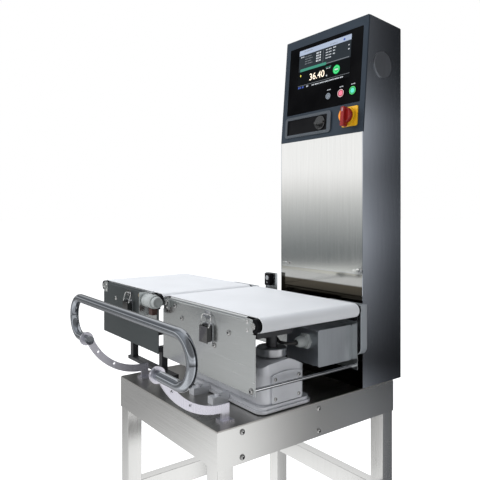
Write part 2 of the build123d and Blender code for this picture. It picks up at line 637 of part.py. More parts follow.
def side_plate(x, face, inward):
    """Side plate with its upper edge bent inward; face is the plate's outer side."""
    bend_z = plate_top - PLATE_BEND
    centre = (face + inward * PLATE_BEND, bend_z)
    inner_bend = PLATE_BEND - PLATE_SHEET
    turn = cos(radians(45))
    outer_middle = (centre[0] - inward * PLATE_BEND * turn, bend_z + PLATE_BEND * turn)
    inner_middle = (centre[0] - inward * inner_bend * turn, bend_z + inner_bend * turn)
    with BuildSketch(Plane.YZ.offset(x[0])) as outline:
        with BuildLine():
            Line((face, plate_bottom), (face, bend_z))
            ThreePointArc((face, bend_z), outer_middle, (centre[0], plate_top))
            Line((centre[0], plate_top), (centre[0], plate_top - PLATE_SHEET))
            ThreePointArc((centre[0], plate_top - PLATE_SHEET), inner_middle,
                          (face + inward * PLATE_SHEET, bend_z))
            Line((face + inward * PLATE_SHEET, bend_z), (face + inward * PLATE_SHEET, plate_bottom))
            Line((face + inward * PLATE_SHEET, plate_bottom), (face, plate_bottom))
        make_face()
    extrude(outline.sketch, amount=x[1] - x[0])
    y = sorted((face - inward, face + inward * (PLATE_BEND + 1)))
    corner_blocks(x, plate_top, y)


def plate_pair(x, rollers):
    """Front and rear side plates of one conveyor, with holes for the drive's shafts."""
    side_plate(x, front_face, 1)
    side_plate(x, rear_face, -1)
    rod_y(10, rollers[1] - MOTOR_BACK, (rear_inner - 1, rear_face + 1), motor_z, Mode.SUBTRACT)


weigh_ties = ((weigh_x[0] + 99, tie_z), (weigh_x[1] - 94, tie_z))
infeed_ties = ((infeed_x[0] + 97, tie_z), (infeed_x[1] - 110, tie_z))
low_tie = (weigh_x[1] - 13, plate_bottom + 9)
with BuildPart() as weigh_side_plates:
    plate_pair(weigh_x, weigh_rollers)
weigh_side_plates.part.label = "weigh_side_plates"
export_step(weigh_side_plates.part, "parts/weigh_side_plates.step")

with BuildPart() as infeed_side_plates:
    plate_pair(infeed_x, infeed_rollers)
infeed_side_plates.part.label = "infeed_side_plates"
export_step(infeed_side_plates.part, "parts/infeed_side_plates.step")

# Slider beds under the upper runs, on bars between the plates
bed_top = axis_z + belt_inner_radius - RUNNING_GAP
bed_sheet = 2.0
bar = (20.0, 10.0)
with BuildPart() as slider_beds:
    for x, rollers in conveyors:
        bed_x = (rollers[0] + belt_outer_radius + 2, rollers[1] - belt_outer_radius - 2)
        block(bed_x, (belt_y[0] + 1, belt_y[1] - 1), (bed_top - bed_sheet, bed_top))
        for middle in (bed_x[0] + 70, bed_x[1] - 70):
            bar_x = (middle - bar[0] / 2, middle + bar[0] / 2)
            bar_top = plate_top - PLATE_BEND - COVER_GAP
            block(bar_x, (front_inner, rear_inner), (bar_top - bar[1], bar_top))
            block(bar_x, (belt_y[0] + 1, belt_y[1] - 1), (bar_top, bed_top - bed_sheet))
slider_beds.part.label = "slider_beds"
export_step(slider_beds.part, "parts/slider_beds.step")

with BuildPart() as conveyor_belts:
    for x, rollers in conveyors:
        span = rollers[1] - rollers[0]
        middle = (rollers[0] + rollers[1]) / 2
        with BuildSketch(Plane.XZ.offset(-belt_y[1])) as outline:
            with Locations((middle, axis_z)):
                SlotCenterToCenter(span, 2 * belt_outer_radius)
                SlotCenterToCenter(span, 2 * belt_inner_radius, mode=Mode.SUBTRACT)
        extrude(outline.sketch, amount=belt_y[1] - belt_y[0])
conveyor_belts.part.label = "conveyor_belts"
export_step(conveyor_belts.part, "parts/conveyor_belts.step")

# Rollers; a drive roller carries a pulley behind the rear plate
roller_y = (belt_y[0] + 1.5, belt_y[1] - 1.5)
bearing_depth = 6.0
cap_depth = 6.5
journal_front = front_inner - 4
journal_rear = rear_inner + 4


def drive_roller(x):
    rod_y(ROLLER_RADIUS, x, roller_y, axis_z)
    rod_y(JOURNAL_RADIUS, x, (journal_front, pulley_y[1] + 2), axis_z)
    rod_y(DRIVE_PULLEY_RADIUS, x, pulley_y, axis_z)


def idler_roller(x):
    rod_y(ROLLER_RADIUS, x, roller_y, axis_z)
    rod_y(JOURNAL_RADIUS, x, (journal_front, journal_rear), axis_z)


with BuildPart() as weigh_drive_roller:
    drive_roller(weigh_rollers[1])
weigh_drive_roller.part.label = "weigh_drive_roller"
export_step(weigh_drive_roller.part, "parts/weigh_drive_roller.step")

with BuildPart() as weigh_idler_roller:
    idler_roller(weigh_rollers[0])
weigh_idler_roller.part.label = "weigh_idler_roller"
export_step(weigh_idler_roller.part, "parts/weigh_idler_roller.step")

with BuildPart() as infeed_drive_roller:
    drive_roller(infeed_rollers[1])
infeed_drive_roller.part.label = "infeed_drive_roller"
export_step(infeed_drive_roller.part, "parts/infeed_drive_roller.step")

with BuildPart() as infeed_idler_roller:
    idler_roller(infeed_rollers[0])
infeed_idler_roller.part.label = "infeed_idler_roller"
export_step(infeed_idler_roller.part, "parts/infeed_idler_roller.step")


def bearing(roller_x, plate_end, side, face, outward, drive):
    """Bearing block at one corner: tongue inside the plate, pad in the cut and round cap."""
    cut_edge = plate_end - side * CORNER_LENGTH
    tongue_x = sorted((cut_edge - side * 18, roller_x))
    inside = sorted((face, face - outward * bearing_depth))
    proud = 0 if drive else 2
    outside = sorted((face, face + outward * (PLATE_SHEET + proud)))
    block(tongue_x, inside, (plate_top - CORNER_HEIGHT - 8, plate_top - PLATE_BEND - 2))
    rod_y(ROLLER_RADIUS, roller_x, inside, axis_z)
    block(sorted((cut_edge + side * 0.5, plate_end - side * 6)), outside,
          (plate_top - CORNER_HEIGHT + 0.5, plate_top - 2))
    if drive:
        rod_y(ROLLER_RADIUS - 3, roller_x, outside, axis_z)
        rod_y(JOURNAL_RADIUS + JOURNAL_FIT, roller_x, (face - 20, face + 20), axis_z, Mode.SUBTRACT)
    else:
        rod_y(ROLLER_RADIUS, roller_x, sorted((face, face + outward * cap_depth)), axis_z)
        bore = sorted((face - outward * 20, face + outward * 4.5))
        rod_y(JOURNAL_RADIUS + JOURNAL_FIT, roller_x, bore, axis_z, Mode.SUBTRACT)


with BuildPart() as bearing_blocks:
    for x, rollers in conveyors:
        bearing(rollers[0], x[0], -1, front_inner, -1, False)
        bearing(rollers[1], x[1], 1, front_inner, -1, False)
        bearing(rollers[0], x[0], -1, rear_inner, 1, False)
        bearing(rollers[1], x[1], 1, rear_inner, 1, True)
bearing_blocks.part.label = "bearing_blocks"
export_step(bearing_blocks.part, "parts/bearing_blocks.step")

with BuildPart() as tie_rods:
    for x, z in weigh_ties + infeed_ties:
        rod_y(TIE_ROD_RADIUS, x, (front_inner, rear_inner), z)
    rod_y(4.3, low_tie[0], (front_inner, rear_inner), low_tie[1])
tie_rods.part.label = "tie_rods"
export_step(tie_rods.part, "parts/tie_rods.step")

# Drives: motor in a hood, timing belt and cover behind the rear plate
drives = tuple((rollers[1], rollers[1] - MOTOR_BACK) for x, rollers in conveyors)
hood_offset = (-60.0, MOTOR_WIDTH - 60.0)
hood_y = (rear_inner - MOTOR_LENGTH - 2, rear_inner)
with BuildPart() as conveyor_motors:
    for roller_x, motor_x in drives:
        rod_y(36, motor_x - 7, (hood_y[0] + 9, rear_inner - 8), motor_z)
        block((motor_x - 40, motor_x + 32), (rear_inner - 8, rear_inner), (motor_z - 38, motor_z + 38))
        rod_y(JOURNAL_RADIUS + JOURNAL_FIT, motor_x, (rear_inner - 30, rear_inner), motor_z,
              Mode.SUBTRACT)
conveyor_motors.part.label = "conveyor_motors"
export_step(conveyor_motors.part, "parts/conveyor_motors.step")

gland_z = motor_z + 13
with BuildPart() as motor_covers:
    for roller_x, motor_x in drives:
        x = (motor_x + hood_offset[0], motor_x + hood_offset[1])
        z = (motor_z - MOTOR_HEIGHT / 2, motor_z + MOTOR_HEIGHT / 2)
        with BuildSketch(Plane.XZ.offset(-hood_y[1])) as outline:
            with Locations(((x[0] + x[1]) / 2, motor_z)):
                RectangleRounded(x[1] - x[0], z[1] - z[0], 6)
        extrude(outline.sketch, amount=hood_y[1] - hood_y[0])
        block((x[0] + HOOD_SHEET, x[1] - HOOD_SHEET), (hood_y[0] + HOOD_SHEET, hood_y[1]),
              (z[0] + HOOD_SHEET, z[1] - HOOD_SHEET), Mode.SUBTRACT)
        with BuildSketch(Plane.YZ.offset(x[1])) as outline:
            with Locations(((hood_y[0] + hood_y[1]) / 2, motor_z)):
                RectangleRounded(hood_y[1] - hood_y[0], z[1] - z[0] + 3, 5)
        extrude(outline.sketch, amount=4)
motor_covers.part.label = "motor_covers"
export_step(motor_covers.part, "parts/motor_covers.step")


def motor_pulley(x):
    rod_y(motor_pulley_radius, x, pulley_y, motor_z)
    rod_y(JOURNAL_RADIUS, x, (rear_inner - 25, pulley_y[0]), motor_z)


with BuildPart() as weigh_motor_pulley:
    motor_pulley(drives[1][1])
weigh_motor_pulley.part.label = "weigh_motor_pulley"
export_step(weigh_motor_pulley.part, "parts/weigh_motor_pulley.step")

with BuildPart() as infeed_motor_pulley:
    motor_pulley(drives[0][1])
infeed_motor_pulley.part.label = "infeed_motor_pulley"
export_step(infeed_motor_pulley.part, "parts/infeed_motor_pulley.step")


def pulley_loop(drive, grow, mode):
    """Band outline round the two pulleys of a drive, a distance outside them."""
    with BuildSketch(Plane.XZ.offset(-pulley_y[1] + 1)) as outline:
        with Locations((drive[0], axis_z)):
            Circle(DRIVE_PULLEY_RADIUS + grow)
        with Locations((drive[1], motor_z)):
            Circle(motor_pulley_radius + grow)
        make_hull()
    extrude(outline.sketch, amount=PULLEY_WIDTH - 2, mode=mode)


with BuildPart() as timing_belts:
    for drive in drives:
        pulley_loop(drive, RUNNING_GAP + TIMING_BELT, Mode.ADD)
        pulley_loop(drive, RUNNING_GAP, Mode.SUBTRACT)
timing_belts.part.label = "timing_belts"
export_step(timing_belts.part, "parts/timing_belts.step")

with BuildPart() as drive_covers:
    for roller_x, motor_x in drives:
        x = (motor_x - 45, roller_x + 13)
        z = (motor_z - 30, axis_z + 12)
        wall = 1.6
        for inset, depth, mode in ((0, 0, Mode.ADD), (wall, wall, Mode.SUBTRACT)):
            with BuildSketch(Plane.XZ.offset(-rear_face - COVER_DEPTH + depth)) as outline:
                with Locations(((x[0] + x[1]) / 2, (z[0] + z[1]) / 2)):
                    Rectangle(x[1] - x[0] - 2 * inset, z[1] - z[0] - 2 * inset)
                fillet(outline.vertices().sort_by(Axis.Y)[:2], 20 - inset)
            extrude(outline.sketch, amount=COVER_DEPTH - depth, mode=mode)
drive_covers.part.label = "drive_covers"
export_step(drive_covers.part, "parts/drive_covers.step")

# Latches: base plate with ears and keeper, over-centre lever and wire bail
latch_x = {"weigh": weigh_x[1] - WEIGH_LATCH_BACK, "infeed": infeed_x[1] - INFEED_LATCH_BACK}
plate_face = front_face
base_face = plate_face - 2
lever_axis = (base_face - 3, plate_top - 43)
bail_axis = (lever_axis[0] - 6.5, lever_axis[1] - 1)
bail_bar = (lever_axis[0] + 1, lever_axis[1] + 26.3)
with BuildPart() as latch_bases:
    for x in latch_x.values():
        block((x - LATCH_WIDTH / 2, x + LATCH_WIDTH / 2), (base_face, plate_face),
              (lever_axis[1] - LEVER_LENGTH - 2, lever_axis[1] + 8))
        for side in (-1, 1):
            ear = sorted((x + side * 11, x + side * 14))
            block(ear, (lever_axis[0] - 2.8, base_face), (lever_axis[1] - 5.5, lever_axis[1] + 5.5))
            rod_x(1.5 + JOURNAL_FIT, ear, *lever_axis, Mode.SUBTRACT)
        tray = bail_bar[1] - BAIL_RADIUS - 0.4
        block((x - 12, x + 12), (base_face, plate_face), (tray - 8, tray + 10))
        block((x - 9, x + 9), (bail_bar[0] - BAIL_RADIUS - 3.2, base_face), (tray - 2, tray))
        block((x - 9, x + 9), (bail_bar[0] - BAIL_RADIUS - 3.2, bail_bar[0] - BAIL_RADIUS - 1.2),
              (tray, tray + 2.6))
latch_bases.part.label = "latch_bases"
export_step(latch_bases.part, "parts/latch_bases.step")


def latch_lever(x):
    """Channel-shaped lever that turns on a pin through the base's ears."""
    low = lever_axis[1] - LEVER_LENGTH
    front = lever_axis[0] - LEVER_DEPTH
    block((x - LEVER_WIDTH / 2, x + LEVER_WIDTH / 2), (front, front + 2.5), (low, lever_axis[1]))
    for side in (-1, 1):
        cheek = sorted((x + side * (LEVER_WIDTH / 2 - 2.5), x + side * LEVER_WIDTH / 2))
        block(cheek, (front, lever_axis[0] + 1.6), (low + 3, lever_axis[1]))
        rod_x(2.6, cheek, *lever_axis)
        rod_x(2.6, cheek, *bail_axis)
        rod_x(BAIL_RADIUS + JOURNAL_FIT, cheek, *bail_axis, Mode.SUBTRACT)
    rod_x(1.5, (x - LEVER_WIDTH / 2 + 1, x + LEVER_WIDTH / 2 - 1), *lever_axis)


def latch_bail(x):
    """Wire loop: two pins in the lever's cheeks, two legs and a bar behind the keeper's lip."""
    leg = LEVER_WIDTH / 2 + 0.4 + BAIL_RADIUS
    pin = LEVER_WIDTH / 2 - 2.4
    with BuildLine() as wire:
        FilletPolyline((x - pin, *bail_axis), (x - leg, *bail_axis), (x - leg, *bail_bar),
                       (x + leg, *bail_bar), (x + leg, *bail_axis), (x + pin, *bail_axis),
                       radius=[2, 6, 6, 2])
    with BuildSketch(Plane(wire.wire() @ 0, z_dir=wire.wire() % 0)) as section:
        Circle(BAIL_RADIUS)
    sweep(section.sketch, path=wire.wire())


with BuildPart() as weigh_latch_lever:
    latch_lever(latch_x["weigh"])
weigh_latch_lever.part.label = "weigh_latch_lever"
export_step(weigh_latch_lever.part, "parts/weigh_latch_lever.step")

with BuildPart() as infeed_latch_lever:
    latch_lever(latch_x["infeed"])
infeed_latch_lever.part.label = "infeed_latch_lever"
export_step(infeed_latch_lever.part, "parts/infeed_latch_lever.step")

with BuildPart() as weigh_latch_bail:
    latch_bail(latch_x["weigh"])
weigh_latch_bail.part.label = "weigh_latch_bail"
export_step(weigh_latch_bail.part, "parts/weigh_latch_bail.step")

with BuildPart() as infeed_latch_bail:
    latch_bail(latch_x["infeed"])
infeed_latch_bail.part.label = "infeed_latch_bail"
export_step(infeed_latch_bail.part, "parts/infeed_latch_bail.step")

# Weigh cell: stepped base on small feet, cast body, end cover, load platters and carrier
with BuildPart() as cell_base:
    rounded_block(cell_x, cell_y, (cell_base_bottom, cell_base_bottom + CELL_STEP), 20)
    rounded_block((cell_x[0] + 4, cell_x[1] - 4), (cell_y[0] + 4, cell_y[1] - 4),
                  (cell_base_bottom + CELL_STEP, cell_base_top), 18)
    for x in (cell_x[0] + 24, cell_x[1] - 24):
        for y in (cell_y[0] + 24, cell_y[1] - 24):
            rod_z(10, x, y, (FRAME_TOP, cell_base_bottom))
    # Clamps that hold the lower step down to the deck
    for x in (cell_x[0] + 120, cell_x[0] + 203):
        clamp_y = (cell_y[0] - 44, cell_y[0] - 0.5)
        block((x - 11, x + 11), clamp_y, (FRAME_TOP, cell_base_bottom + CELL_STEP))
        block((x - 11, x + 11), (clamp_y[0], cell_y[0] + 3.5),
              (cell_base_bottom + CELL_STEP, cell_base_bottom + CELL_STEP + 8))
        rod_z(6, x, cell_y[0] - 24, (cell_base_bottom + CELL_STEP + 8, cell_base_bottom + CELL_STEP + 13))
cell_base.part.label = "cell_base"
export_step(cell_base.part, "parts/cell_base.step")

body_x = (cell_x[0] + 7, cell_x[1] - 10)
body_y = (cell_y[0] + 14, cell_y[1] - 14)
body_roof = ((body_y[0], FRAME_TOP + BODY_FRONT), (body_y[0] + 16, FRAME_TOP + BODY_SHOULDER),
             (body_y[0] + 78, FRAME_TOP + BODY_TOP), (body_y[0] + 97, FRAME_TOP + BODY_REAR_SHOULDER),
             (body_y[1], FRAME_TOP + BODY_REAR))
with BuildPart() as cell_body:
    plate_facing_x([(body_y[0], cell_base_top), *body_roof, (body_y[1], cell_base_top)], body_x)
    rounded_block(body_x, body_y, (cell_base_top, platter_top), 20, Mode.INTERSECT)
    for x in platter_x:
        rod_z(16.2, x, platter_y, (platter_bottom - PLATTER_SEAT, platter_top), Mode.SUBTRACT)
cell_body.part.label = "cell_body"
export_step(cell_body.part, "parts/cell_body.step")

cover_y = (body_y[0] + 24, body_y[1] - 17)
with BuildPart() as cell_cover:
    cover_middle = (cover_y[0] + cover_y[1]) / 2
    with BuildSketch(Plane.YZ.offset(body_x[1])) as outline:
        with BuildLine():
            Line((cover_y[0], cell_base_top + 1), (cover_y[0], cell_base_top + 64))
            ThreePointArc((cover_y[0], cell_base_top + 64), (cover_middle, cell_base_top + 70),
                          (cover_y[1], cell_base_top + 64))
            Line((cover_y[1], cell_base_top + 64), (cover_y[1], cell_base_top + 1))
            Line((cover_y[1], cell_base_top + 1), (cover_y[0], cell_base_top + 1))
        make_face()
        fillet(outline.vertices(), 5)
    extrude(outline.sketch, amount=4)
    for y in (cover_y[0] + 10, cover_y[1] - 10):
        for z in (cell_base_top + 11, cell_base_top + 55):
            rod_x(3, (body_x[1] + 4, body_x[1] + 5.5), y, z)
cell_cover.part.label = "cell_cover"
export_step(cell_cover.part, "parts/cell_cover.step")

with BuildPart() as platters:
    for x in platter_x:
        rod_z(PLATTER_RADIUS, x, platter_y, (platter_bottom, platter_top))
        rod_z(16, x, platter_y, (platter_bottom - PLATTER_SEAT, platter_bottom))
    rims = platters.edges().filter_by(GeomType.CIRCLE).group_by(Axis.Z)[-1]
    fillet(rims, 3)
platters.part.label = "platters"
export_step(platters.part, "parts/platters.step")

with BuildPart() as carrier:
    beam_top = tie_z - TIE_ROD_RADIUS
    for x, tie in zip(platter_x, weigh_ties):
        rod_z(PEDESTAL_RADIUS, x, platter_y, (platter_top, beam_top - CARRIER_BEAM))
        block((min(x, tie[0]) - PEDESTAL_RADIUS, max(x, tie[0]) + PEDESTAL_RADIUS),
              (front_inner + 0.5, platter_y + 55), (beam_top - CARRIER_BEAM, beam_top))
carrier.part.label = "carrier"
export_step(carrier.part, "parts/carrier.step")

# Guard: polished tube with two round ends, on two curved flat arms
with BuildPart() as guard_rail:
    with BuildLine(Plane.XZ.offset(-guard_y)) as path:
        middle = (guard_top + guard_low) / 2
        Line((GUARD_RIGHT_END, guard_low), (GUARD_RIGHT, guard_low))
        ThreePointArc((GUARD_RIGHT, guard_low), (GUARD_RIGHT + LOOP_RADIUS, middle),
                      (GUARD_RIGHT, guard_top))
        Line((GUARD_RIGHT, guard_top), (GUARD_LEFT, guard_top))
        ThreePointArc((GUARD_LEFT, guard_top), (GUARD_LEFT - LOOP_RADIUS, middle),
                      (GUARD_LEFT, guard_low))
        Line((GUARD_LEFT, guard_low), (GUARD_LEFT_END, guard_low))
    with BuildSketch(Plane((GUARD_RIGHT_END, guard_y, guard_low), z_dir=(1, 0, 0))) as section:
        Circle(GUARD_RADIUS)
        Circle(GUARD_RADIUS - GUARD_WALL, mode=Mode.SUBTRACT)
    sweep(section.sketch, path=path.wire())
    rod_x(GUARD_RADIUS, (GUARD_RIGHT_END - GUARD_END_CAP, GUARD_RIGHT_END), guard_y, guard_low)
    rod_x(GUARD_RADIUS, (GUARD_LEFT_END, GUARD_LEFT_END + GUARD_END_CAP), guard_y, guard_low)
guard_rail.part.label = "guard_rail"
export_step(guard_rail.part, "parts/guard_rail.step")

arm_centre = (guard_y + ARM_BACK, FRAME_TOP + ARM_UP)
with BuildPart() as guard_arms:
    for x in (ARM_LEFT, ARM_RIGHT):
        with BuildSketch(Plane.YZ.offset(x - ARM_SHEET / 2)) as outline:
            with BuildLine():
                inner = ARM_RADIUS - ARM_WIDTH
                outer_end = (arm_centre[0] + ARM_RADIUS * cos(radians(204)),
                             arm_centre[1] + ARM_RADIUS * sin(radians(204)))
                inner_end = (arm_centre[0] + inner * cos(radians(204)),
                             arm_centre[1] + inner * sin(radians(204)))
                outer_middle = (arm_centre[0] + ARM_RADIUS * cos(radians(237)),
                                arm_centre[1] + ARM_RADIUS * sin(radians(237)))
                inner_middle = (arm_centre[0] + inner * cos(radians(237)),
                                arm_centre[1] + inner * sin(radians(237)))
                ThreePointArc((arm_centre[0], arm_centre[1] - ARM_RADIUS), outer_middle, outer_end)
                Line(outer_end, inner_end)
                ThreePointArc(inner_end, inner_middle, (arm_centre[0], arm_centre[1] - inner))
                Line((arm_centre[0], arm_centre[1] - inner), (arm_centre[0], arm_centre[1] - ARM_RADIUS))
            make_face()
            with Locations((guard_y, guard_low)):
                Circle(GUARD_RADIUS + ARM_EYE)
            with Locations((arm_centre[0] + 9, FRAME_TOP + 19)):
                Rectangle(20, 38)
            with Locations((guard_y, guard_low)):
                Circle(GUARD_RADIUS + 0.05, mode=Mode.SUBTRACT)
            with Locations((guard_y + 31, guard_low - 38), (guard_y + 74, guard_low - 75)):
                Circle(ARM_HOLE_RADIUS, mode=Mode.SUBTRACT)
        extrude(outline.sketch, amount=ARM_SHEET)
        block((x - 14, x + 14), (arm_centre[0] - 5, arm_centre[0] + 24), (FRAME_TOP, FRAME_TOP + 5))
guard_arms.part.label = "guard_arms"
export_step(guard_arms.part, "parts/guard_arms.step")

# Infeed stand: cantilever beams on the deck, posts and cross bars under the side plates
stand_y = (front_face + 21, rear_face - 22)
post_x = (infeed_x[1] - 10, infeed_x[0] + 185)
with BuildPart() as infeed_stands:
    for y in stand_y:
        block((post_x[1] - 20, cell_x[0] - 12), (y - 12, y + 12), (FRAME_TOP, FRAME_TOP + 10))
        for x in post_x:
            block((x - 9, x + 9), (y - 9, y + 9), (FRAME_TOP + 10, plate_bottom + 4))
    for x in post_x:
        block((x - 9, x + 9), (front_inner, rear_inner), (plate_bottom + 4, plate_bottom + 18))
infeed_stands.part.label = "infeed_stands"
export_step(infeed_stands.part, "parts/infeed_stands.step")

# Sensors on their brackets
barrel = (front_face - 25, plate_top - 15)
barrel_x = (infeed_x[1] - 21, infeed_x[1] + 45)
rear_sensor_x = (weigh_x[0] + 23, weigh_x[0] + 60)
with BuildPart() as sensor_brackets:
    left, right = infeed_x[1] - 107, infeed_x[1] - 7
    notch = (infeed_x[1] - CORNER_LENGTH - 2, plate_top - CORNER_HEIGHT - 1)
    plate_facing_y([(left, plate_bottom + 92), (right, plate_bottom + 92), (right, notch[1]), notch,
                    (notch[0], plate_top - PLATE_BEND), (left, plate_top - PLATE_BEND)],
                   (base_face, plate_face))
    block((barrel_x[0] - 2, barrel_x[0]), (barrel[0] - 22, base_face), (notch[1] - 22, barrel[1] + 22))
    rod_x(8 + JOURNAL_FIT, (barrel_x[0] - 2, barrel_x[0]), *barrel, Mode.SUBTRACT)
    back = rear_face + COVER_DEPTH
    foot = (weigh_x[0] + CORNER_LENGTH + 3, rear_sensor_x[1] + 7)
    block(foot, (rear_face, rear_face + 2), (plate_top - 52, plate_top - 10))
    block(foot, (rear_face, back + 2), (plate_top - 12, plate_top - 10))
    block((rear_sensor_x[0] - 9, foot[1]), (back, back + 2), (plate_top - 12, plate_top + 43))
sensor_brackets.part.label = "sensor_brackets"
export_step(sensor_brackets.part, "parts/sensor_brackets.step")

with BuildPart() as photo_sensors:
    rod_x(18, (barrel_x[0], barrel_x[1] - 14), *barrel)
    rod_x(15, (barrel_x[1] - 14, barrel_x[1]), *barrel)
    rod_x(8, (barrel_x[0] - 8, barrel_x[0]), *barrel)
    block((barrel_x[0] + 20, barrel_x[0] + 44), (barrel[0] - 8, barrel[0] + 8), (barrel[1] - 28, barrel[1]))
    block(rear_sensor_x, (back - 12, back), (plate_top + 5, plate_top + 41))
photo_sensors.part.label = "photo_sensors"
export_step(photo_sensors.part, "parts/photo_sensors.step")

# Screws: hexagon bolts in the apron, round heads on the side plates
with BuildPart() as machine_screws:
    for side in (-1, 1):
        for y in beam_y:
            for z in bolt_z:
                face = side * half_length
                rod_x(5.5, sorted((face, face + side * 4)), y, z)
                inner = side * (half_length - APRON_SHEET - BEAM_PLATE)
                rod_x(3, sorted((inner, face)), y, z)
    heads = [*weigh_ties, infeed_ties[0], low_tie]
    heads += [(weigh_x[0] + 65, plate_top - 18), (weigh_x[0] + 246, plate_top - 85)]
    for x, z in heads:
        rod_y(6, x, (front_face - 3.5, front_face), z)
    for x in (infeed_x[1] - 98, infeed_x[1] - 62):
        rod_y(4, x, (base_face - 8, base_face), plate_top - 14)
machine_screws.part.label = "machine_screws"
export_step(machine_screws.part, "parts/machine_screws.step")

# Cable of the weighing motor, between a gland on its hood and a gland in the deck
gland_x = drives[1][1] + 10
gland_front = hood_y[0] - 33
deck_gland = 18.0
with BuildPart() as cable_glands:
    hex_head(34, 12, Plane((gland_x, hood_y[0], gland_z), z_dir=(0, -1, 0)))
    rod_y(GLAND_RADIUS, gland_x, (gland_front, hood_y[0] - 12), gland_z)
    hex_head(20, 8, Plane((*cable_deck, FRAME_TOP)))
    rod_z(8, *cable_deck, (FRAME_TOP + 8, FRAME_TOP + deck_gland))
    rod_z(CABLE_RADIUS + 3.5, *cable_deck, (deck_bottom - 4, FRAME_TOP))
cable_glands.part.label = "cable_glands"
export_step(cable_glands.part, "parts/cable_glands.step")

route = [(gland_x, gland_front, gland_z), (gland_x, gland_front - 17, gland_z),
         (gland_x - 12, gland_front - 29, gland_z + 1), (gland_x - 30, gland_front - 32, gland_z + 2),
         (gland_x - 64, gland_front - 30, gland_z + 2), (gland_x - 108, gland_front - 18, gland_z - 1),
         (gland_x - 134, gland_front + 14, gland_z - 5), (gland_x - 142, gland_front + 55, gland_z - 14),
         (cable_deck[0], cable_deck[1] - 4, gland_z - 50),
         (*cable_deck, gland_z - 88), (*cable_deck, FRAME_TOP + deck_gland)]


def route_radii(points):
    """Arc radius for each inner point of a route: 0.45 of the shorter run over the half turn."""
    radii = []
    for before, here, after in zip(points, points[1:], points[2:]):
        first = Vector(*here) - Vector(*before)
        second = Vector(*after) - Vector(*here)
        turn = first.get_angle(second)
        radii.append(round(0.45 * min(first.length, second.length) / tan(radians(turn / 2)), 2))
    return radii


radii = route_radii(route)
with BuildPart() as motor_cable:
    with BuildLine() as path:
        FilletPolyline(*route, radius=radii)
    with BuildSketch(Plane(path.wire() @ 0, z_dir=path.wire() % 0)) as section:
        Circle(CABLE_RADIUS)
    sweep(section.sketch, path=path.wire())
motor_cable.part.label = "motor_cable"
export_step(motor_cable.part, "parts/motor_cable.step")
print("cable radii", radii, "length", round(path.wire().length, 1))
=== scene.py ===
import math

import bmesh
import bpy
from mathutils import Matrix, Vector


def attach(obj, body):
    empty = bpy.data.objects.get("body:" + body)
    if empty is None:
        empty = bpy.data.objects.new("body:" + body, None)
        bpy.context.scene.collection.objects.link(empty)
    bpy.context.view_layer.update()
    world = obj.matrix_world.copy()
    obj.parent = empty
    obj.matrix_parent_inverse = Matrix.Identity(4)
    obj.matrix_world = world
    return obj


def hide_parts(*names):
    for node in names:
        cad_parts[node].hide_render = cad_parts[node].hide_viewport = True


# A checkweigher for a packaging line. Lengths are in millimetres and become metres in the meshes.
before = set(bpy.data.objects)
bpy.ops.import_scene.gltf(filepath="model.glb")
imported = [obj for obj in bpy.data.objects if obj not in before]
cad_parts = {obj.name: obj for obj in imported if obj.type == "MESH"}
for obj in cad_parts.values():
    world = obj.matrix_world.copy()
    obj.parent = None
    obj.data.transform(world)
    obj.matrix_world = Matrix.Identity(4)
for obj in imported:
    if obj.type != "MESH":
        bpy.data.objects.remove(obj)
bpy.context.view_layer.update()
MM = 0.001

# The head leans back; its own axes run across, up and out of its face
LEAN = math.radians(4.72)
HEAD = Matrix(((1, 0, 0, 76.5),
               (0, math.sin(LEAN), -math.cos(LEAN), 162),
               (0, math.cos(LEAN), math.sin(LEAN), 1252.5),
               (0, 0, 0, 1)))
KEY_ACROSS = {"menu_key": 29, "stop_key": 75, "start_key": 116}
KEY_UP = 112.5
SWITCH_ACROSS, SWITCH_UP = 112, 44

# Conveyors: inner faces of the side plates, their thickness, height of the rollers' axes
FRONT_FACE = -199.0
REAR_FACE = 120.0
PLATE = 2.0
AXIS_Z = 807.0


# Procedural materials. Colours are given as red, green and blue.
def feed(tree, node, inputs):
    """Gives each input its value, or a link when it comes from another node."""
    for name, value in inputs.items():
        socket = node.inputs[name]
        if isinstance(value, bpy.types.NodeSocket):
            tree.links.new(value, socket)
        elif socket.type == "RGBA":
            socket.default_value = (*value, 1)
        else:
            socket.default_value = value


def add_node(tree, kind, inputs=None, **settings):
    """Node with its settings first and its inputs after them."""
    node = tree.nodes.new(kind)
    for name, setting in settings.items():
        setattr(node, name, setting)
    feed(tree, node, inputs or {})
    return node


def noise(tree, scale, stretch=(1, 1, 1), detail=3.0):
    """Noise over the object's own coordinates, stretched along the grain."""
    coordinates = add_node(tree, "ShaderNodeTexCoord")
    mapping = add_node(tree, "ShaderNodeMapping",
                       {"Vector": coordinates.outputs["Object"], "Scale": stretch})
    texture = add_node(tree, "ShaderNodeTexNoise",
                       {"Vector": mapping.outputs["Vector"], "Scale": scale, "Detail": detail})
    return texture.outputs["Fac"]


def ranged(tree, value, low, high, start=0.3, end=0.7):
    """Value that runs from low to high while the given one runs from start to end."""
    node = add_node(tree, "ShaderNodeMapRange", {"Value": value, "From Min": start, "From Max": end,
                                                 "To Min": low, "To Max": high})
    return node.outputs["Result"]


def summed(tree, first, second):
    """Sum of two values."""
    node = add_node(tree, "ShaderNodeMath", {0: first, 1: second}, operation="ADD")
    return node.outputs["Value"]


def blended(tree, factor, first, second, kind="MIX"):
    """Blend of two colours."""
    node = add_node(tree, "ShaderNodeMix", {"Factor": factor, "A": first, "B": second},
                    data_type="RGBA", blend_type=kind)
    return node.outputs["Result"]


def grey(*stops):
    """Grey stops for a ramp from (value, level) pairs."""
    return [(at, (level, level, level)) for at, level in stops]


